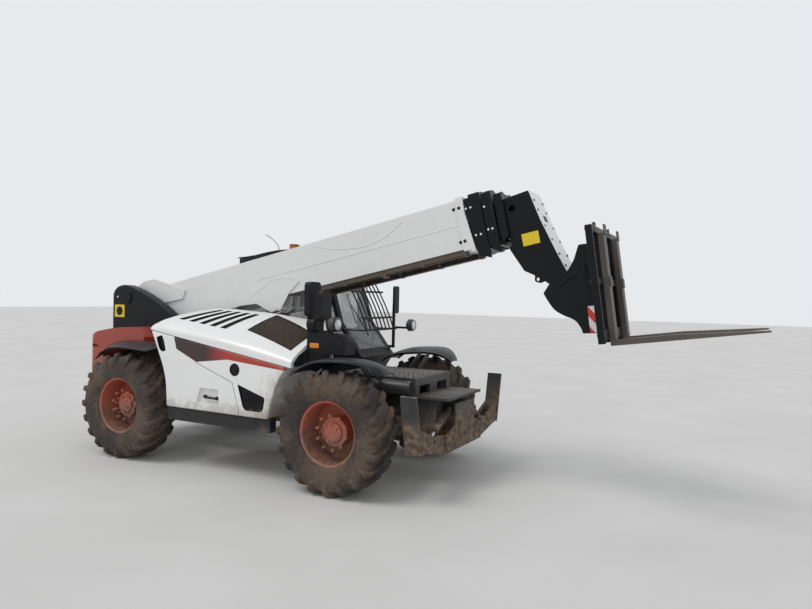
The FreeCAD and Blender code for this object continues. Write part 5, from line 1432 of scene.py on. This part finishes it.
# Two steps under the cab door, with slats, on two hangers.
stepSizes = SimpleNamespace(
    x=(-0.26, 0.20), levels=(0.40, 0.24), inner=1.0, outer=1.115, hanger=(0.215, 0.52), slats=9,
)


def cabSteps():
    steps = Shape()
    back, ahead = stepSizes.x
    inner, outer, slats = stepSizes.inner, stepSizes.outer, stepSizes.slats
    foot, head = stepSizes.hanger
    for z in stepSizes.levels:
        steps.block(side, back, z, ahead, z + 0.008, inner, outer)
        steps.block(side, back, z - 0.02, ahead, z + 0.008, outer - 0.006, outer)
        for number in range(slats):
            x = back + 0.03 + number * (ahead - back - 0.06) / (slats - 1)
            slat = roundBox(x - 0.008, inner + 0.012, x + 0.008, outer - 0.012, 0.007, 3)
            steps.prism(top, slat, z + 0.007, z + 0.012)
    for x in (back, ahead):
        steps.block(side, x - 0.010, foot, x + 0.010, head, inner + 0.02, inner + 0.10)
    steps.finish("cab_steps", "frameBlack", 0.002)


# Under the machine: a gearbox, and propeller shafts with joints to both axles.
underSizes = SimpleNamespace(z=0.60, shaft=0.040, reach=1.24, box=(-0.28, 0.42, 0.30, 0.78), half=0.17)


def underside():
    z, box, half = underSizes.z, underSizes.box, underSizes.half
    line = Shape().prism(side, roundBox(*box, 0.05, 5), -half, half)
    for near, sign in ((box[2], 1), (box[0], -1)):
        far = sign * underSizes.reach
        line.bar([side.at(near + sign * 0.10, z), side.at(far - sign * 0.10, z)], underSizes.shaft, 20)
        for spot in (near + sign * 0.05, far - sign * 0.05):
            line.bar([side.at(spot - 0.05, z), side.at(spot + 0.05, z)], 0.052, 8)
            line.bar([side.at(spot, z, -0.062), side.at(spot, z, 0.062)], 0.020, 12)
            line.bar([side.at(spot, z - 0.062), side.at(spot, z + 0.062)], 0.020, 12)
    line.finish("drive_line", "axleMud", 0.003)


# Two pipes along the lift ram's barrel, held by clips; each has its place across and its reach.
ramSizes = SimpleNamespace(
    place=(-1.80, 0.90, 24.06), barrel=0.085, pipe=0.010, pipes=((-0.03, 0.32), (0.03, 1.36)),
    clips=(0.28, 0.75, 1.20),
)


def ramPipes():
    ram = tilted(*ramSizes.place)
    barrel, pipe = ramSizes.barrel, ramSizes.pipe
    lift = barrel + pipe * 1.3
    pipes = Shape()
    for y, reach in ramSizes.pipes:
        line = ((0.12, barrel - 0.015), (0.16, lift), (reach - 0.03, lift), (reach, barrel - 0.02))
        pipes.bar(ram.line(line, y), pipe, 10)
    for reach in ramSizes.clips:
        pipes.block(ram, reach - 0.012, barrel - 0.012, reach + 0.012, lift + 0.014, -0.045, 0.045)
    pipes.finish("lift_ram_pipes", "frameBlack", 0.002, "lift_cylinder")


# The driver's seat: padded cushion and back with sewn channels on a plastic base.
seatSizes = SimpleNamespace(
    x=(-0.60, -0.16), y=(0.52, 0.945), cushion=(1.085, 1.19), back=((-0.575, 1.20), (-0.665, 1.74)),
    backDepth=0.10, voxel=0.006, pressure=4.0, frames=20, reach=0.016, channels=5,
)


def puffed(piece, name):
    remesh = piece.modifiers.new("even", "REMESH")
    remesh.mode = "VOXEL"
    remesh.voxel_size = seatSizes.voxel
    applyModifiers(piece)
    start = [vertex.co.copy() for vertex in piece.data.vertices]
    cloth = piece.modifiers.new("puff", "CLOTH")
    cloth.settings.use_pressure = True
    cloth.settings.uniform_pressure_force = seatSizes.pressure
    cloth.settings.effector_weights.gravity = 0
    for number in range(1, seatSizes.frames + 1):
        bpy.context.scene.frame_set(number)
    graph = bpy.context.evaluated_depsgraph_get()
    swollen = piece.evaluated_get(graph).data
    places = [vertex.co.copy() for vertex in swollen.vertices]
    piece.modifiers.clear()
    bpy.context.scene.frame_set(1)
    for vertex, before, after in zip(piece.data.vertices, start, places):
        push = after - before
        push.length = min(push.length, seatSizes.reach)
        vertex.co = before + push
    sewChannels(piece)
    smooth = piece.modifiers.new("smooth", "SUBSURF")
    smooth.levels = 1
    smooth.render_levels = 1
    applyModifiers(piece)
    piece.name = name
    dress(piece, "seatCloth", angle=180)


# Pulls narrow lines in, as sewn channels are, across the width of a pad.
def sewChannels(piece):
    spots = [vertex.co.y for vertex in piece.data.vertices]
    low, high = min(spots), max(spots)
    pitch = (high - low) / seatSizes.channels
    normals = [vertex.normal.copy() for vertex in piece.data.vertices]
    for vertex, spot, normal in zip(piece.data.vertices, spots, normals):
        nearest = min(range(1, seatSizes.channels), key=lambda line: abs(low + pitch * line - spot))
        away = abs(low + pitch * nearest - spot)
        vertex.co -= normal * 0.007 * exp(-(away / 0.007) ** 2)


def seat():
    back, ahead = seatSizes.x
    yLow, yHigh = seatSizes.y
    low, high = seatSizes.cushion
    shell = Shape()
    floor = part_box("seat")[0][2]
    foot = rounded([(back + 0.03, floor), (ahead - 0.05, floor), (ahead - 0.09, low - 0.10),
                    (ahead - 0.02, low), (back - 0.01, low), (back + 0.05, low - 0.10)], 0.02, 4)
    shell.prism(side, foot, yLow + 0.06, yHigh - 0.06)
    for level in range(4):
        z = floor + 0.10 + level * 0.055
        shell.block(side, back + 0.02, z, ahead - 0.04, z + 0.02, yLow + 0.045, yHigh - 0.045)
    (footX, footZ), (headX, headZ) = seatSizes.back
    depth = seatSizes.backDepth
    behind = rounded([(footX - depth * 0.55, footZ - 0.10), (footX - 0.01, footZ - 0.10),
                      (headX, headZ - 0.02), (headX - depth * 0.55, headZ - 0.04)], 0.02, 4)
    shell.prism(side, behind, yLow + 0.03, yHigh - 0.03)
    shell.finish("seat_base_and_shell", "plasticDark", 0.006, replaces=("seat",))
    cushion = Shape().prism(top, roundBox(back, yLow, ahead, yHigh, 0.07, 6), low, high, 0.95)
    puffed(cushion.build("cushion"), "seat_cushion")
    lean = tilted((footX + headX) / 2, (footZ + headZ) / 2, degrees(atan2(headZ - footZ, headX - footX)))
    half = (Vector((headX, headZ)) - Vector((footX, footZ))).length / 2
    face = Plane(lean.origin, (0, 1, 0), lean.across, lean.up * -1)
    outline = rounded([(yLow, -half), (yHigh, -half), (yHigh - 0.03, half - 0.02),
                       (yLow + 0.03, half - 0.02)], 0.07, 6)
    rest = Shape().prism(face, outline, -depth * 0.35, depth * 0.6, 0.94)
    puffed(rest.build("rest"), "seat_back")


mirrorFittings()
tailFittings()
cabFittings()
dashAndWiper()
roof()
frontGuards()
beacon()
cabSteps()
deckFittings()
underside()
ramPipes()
seat()
print("stage: fittings")


# Studio: pale floor, soft light, and the camera at the photograph's view.
viewSizes = SimpleNamespace(
    place=(3.5818, -6.3515, 1.9189), focal=661.15, wide=812.0, sensor=36.0, turns=(27.259, -0.751, 1.252),
)
studioSizes = SimpleNamespace(
    floor=60.0, floorColours=((0.62, 0.61, 0.59), (0.66, 0.65, 0.63)),
    sky=(((0.93, 0.96, 1.0), 0.62), ((0.80, 0.82, 0.84), 1.0)),
    suns=(("keyLight", 1.15, 30, (0.35, 0.45, -0.85)), ("fillLight", 0.35, 60, (-0.6, 0.7, -0.35))),
)


def camera():
    yaw, pitch, roll = (radians(turn) for turn in viewSizes.turns)
    ahead = Vector((-sin(yaw) * cos(pitch), cos(yaw) * cos(pitch), sin(pitch)))
    level = Vector((cos(yaw), sin(yaw), 0))
    raised = level.cross(ahead)
    right = level * cos(roll) + raised * sin(roll)
    up = raised * cos(roll) - level * sin(roll)
    data = bpy.data.cameras.new("photoCamera")
    data.sensor_width = viewSizes.sensor
    data.sensor_fit = "HORIZONTAL"
    data.lens = viewSizes.focal / viewSizes.wide * viewSizes.sensor
    eye = bpy.data.objects.new("photoCamera", data)
    turn = Matrix((right, up, -ahead)).transposed().to_4x4()
    eye.matrix_world = Matrix.Translation(viewSizes.place) @ turn
    bpy.context.scene.collection.objects.link(eye)
    bpy.context.scene.camera = eye


def floor():
    reach = studioSizes.floor
    mesh = bpy.data.meshes.new("studio_floor")
    mesh.from_pydata([(x, y, 0) for x, y in boxOutline(-reach, -reach, reach, reach)], [], [(0, 1, 2, 3)])
    paint = Paint("floorPale")
    colour = paint.mix(paint.noise(0.6, 3.0).fade(0.3, 0.7), *studioSizes.floorColours)
    mesh.materials.append(paint.finish({"Base Color": colour, "Roughness": 0.9}))
    piece = bpy.data.objects.new("studio_floor", mesh)
    bpy.context.scene.collection.objects.link(piece)


# A sky that lights the machine softly, and looks brighter to the camera, in gloss and through glass.
def sky():
    world = bpy.data.worlds.new("softSky")
    bpy.context.scene.world = world
    world.use_nodes = True
    tree = world.node_tree
    tree.nodes.clear()
    light, seen = (addNode(tree, "ShaderNodeBackground", {}, {"Color": colour, "Strength": strength})
                   for colour, strength in studioSizes.sky)
    path = addNode(tree, "ShaderNodeLightPath")
    share = path["Is Camera Ray"]
    for ray in ("Is Glossy Ray", "Is Transmission Ray"):
        share = addNode(tree, "ShaderNodeMath", {"operation": "MAXIMUM"}, {0: share, 1: path[ray]})[0]
    both = addNode(tree, "ShaderNodeMixShader", {}, {0: share, 1: light[0], 2: seen[0]})
    addNode(tree, "ShaderNodeOutputWorld", {}, {0: both[0]})


def sunLights():
    for name, strength, angle, aim in studioSizes.suns:
        data = bpy.data.lights.new(name, "SUN")
        data.energy = strength
        data.angle = radians(angle)
        lamp = bpy.data.objects.new(name, data)
        lamp.rotation_euler = Vector(aim).to_track_quat("-Z", "Y").to_euler()
        bpy.context.scene.collection.objects.link(lamp)


camera()
floor()
sky()
sunLights()
bpy.context.scene.view_settings.view_transform = "Standard"
print("stage: studio")
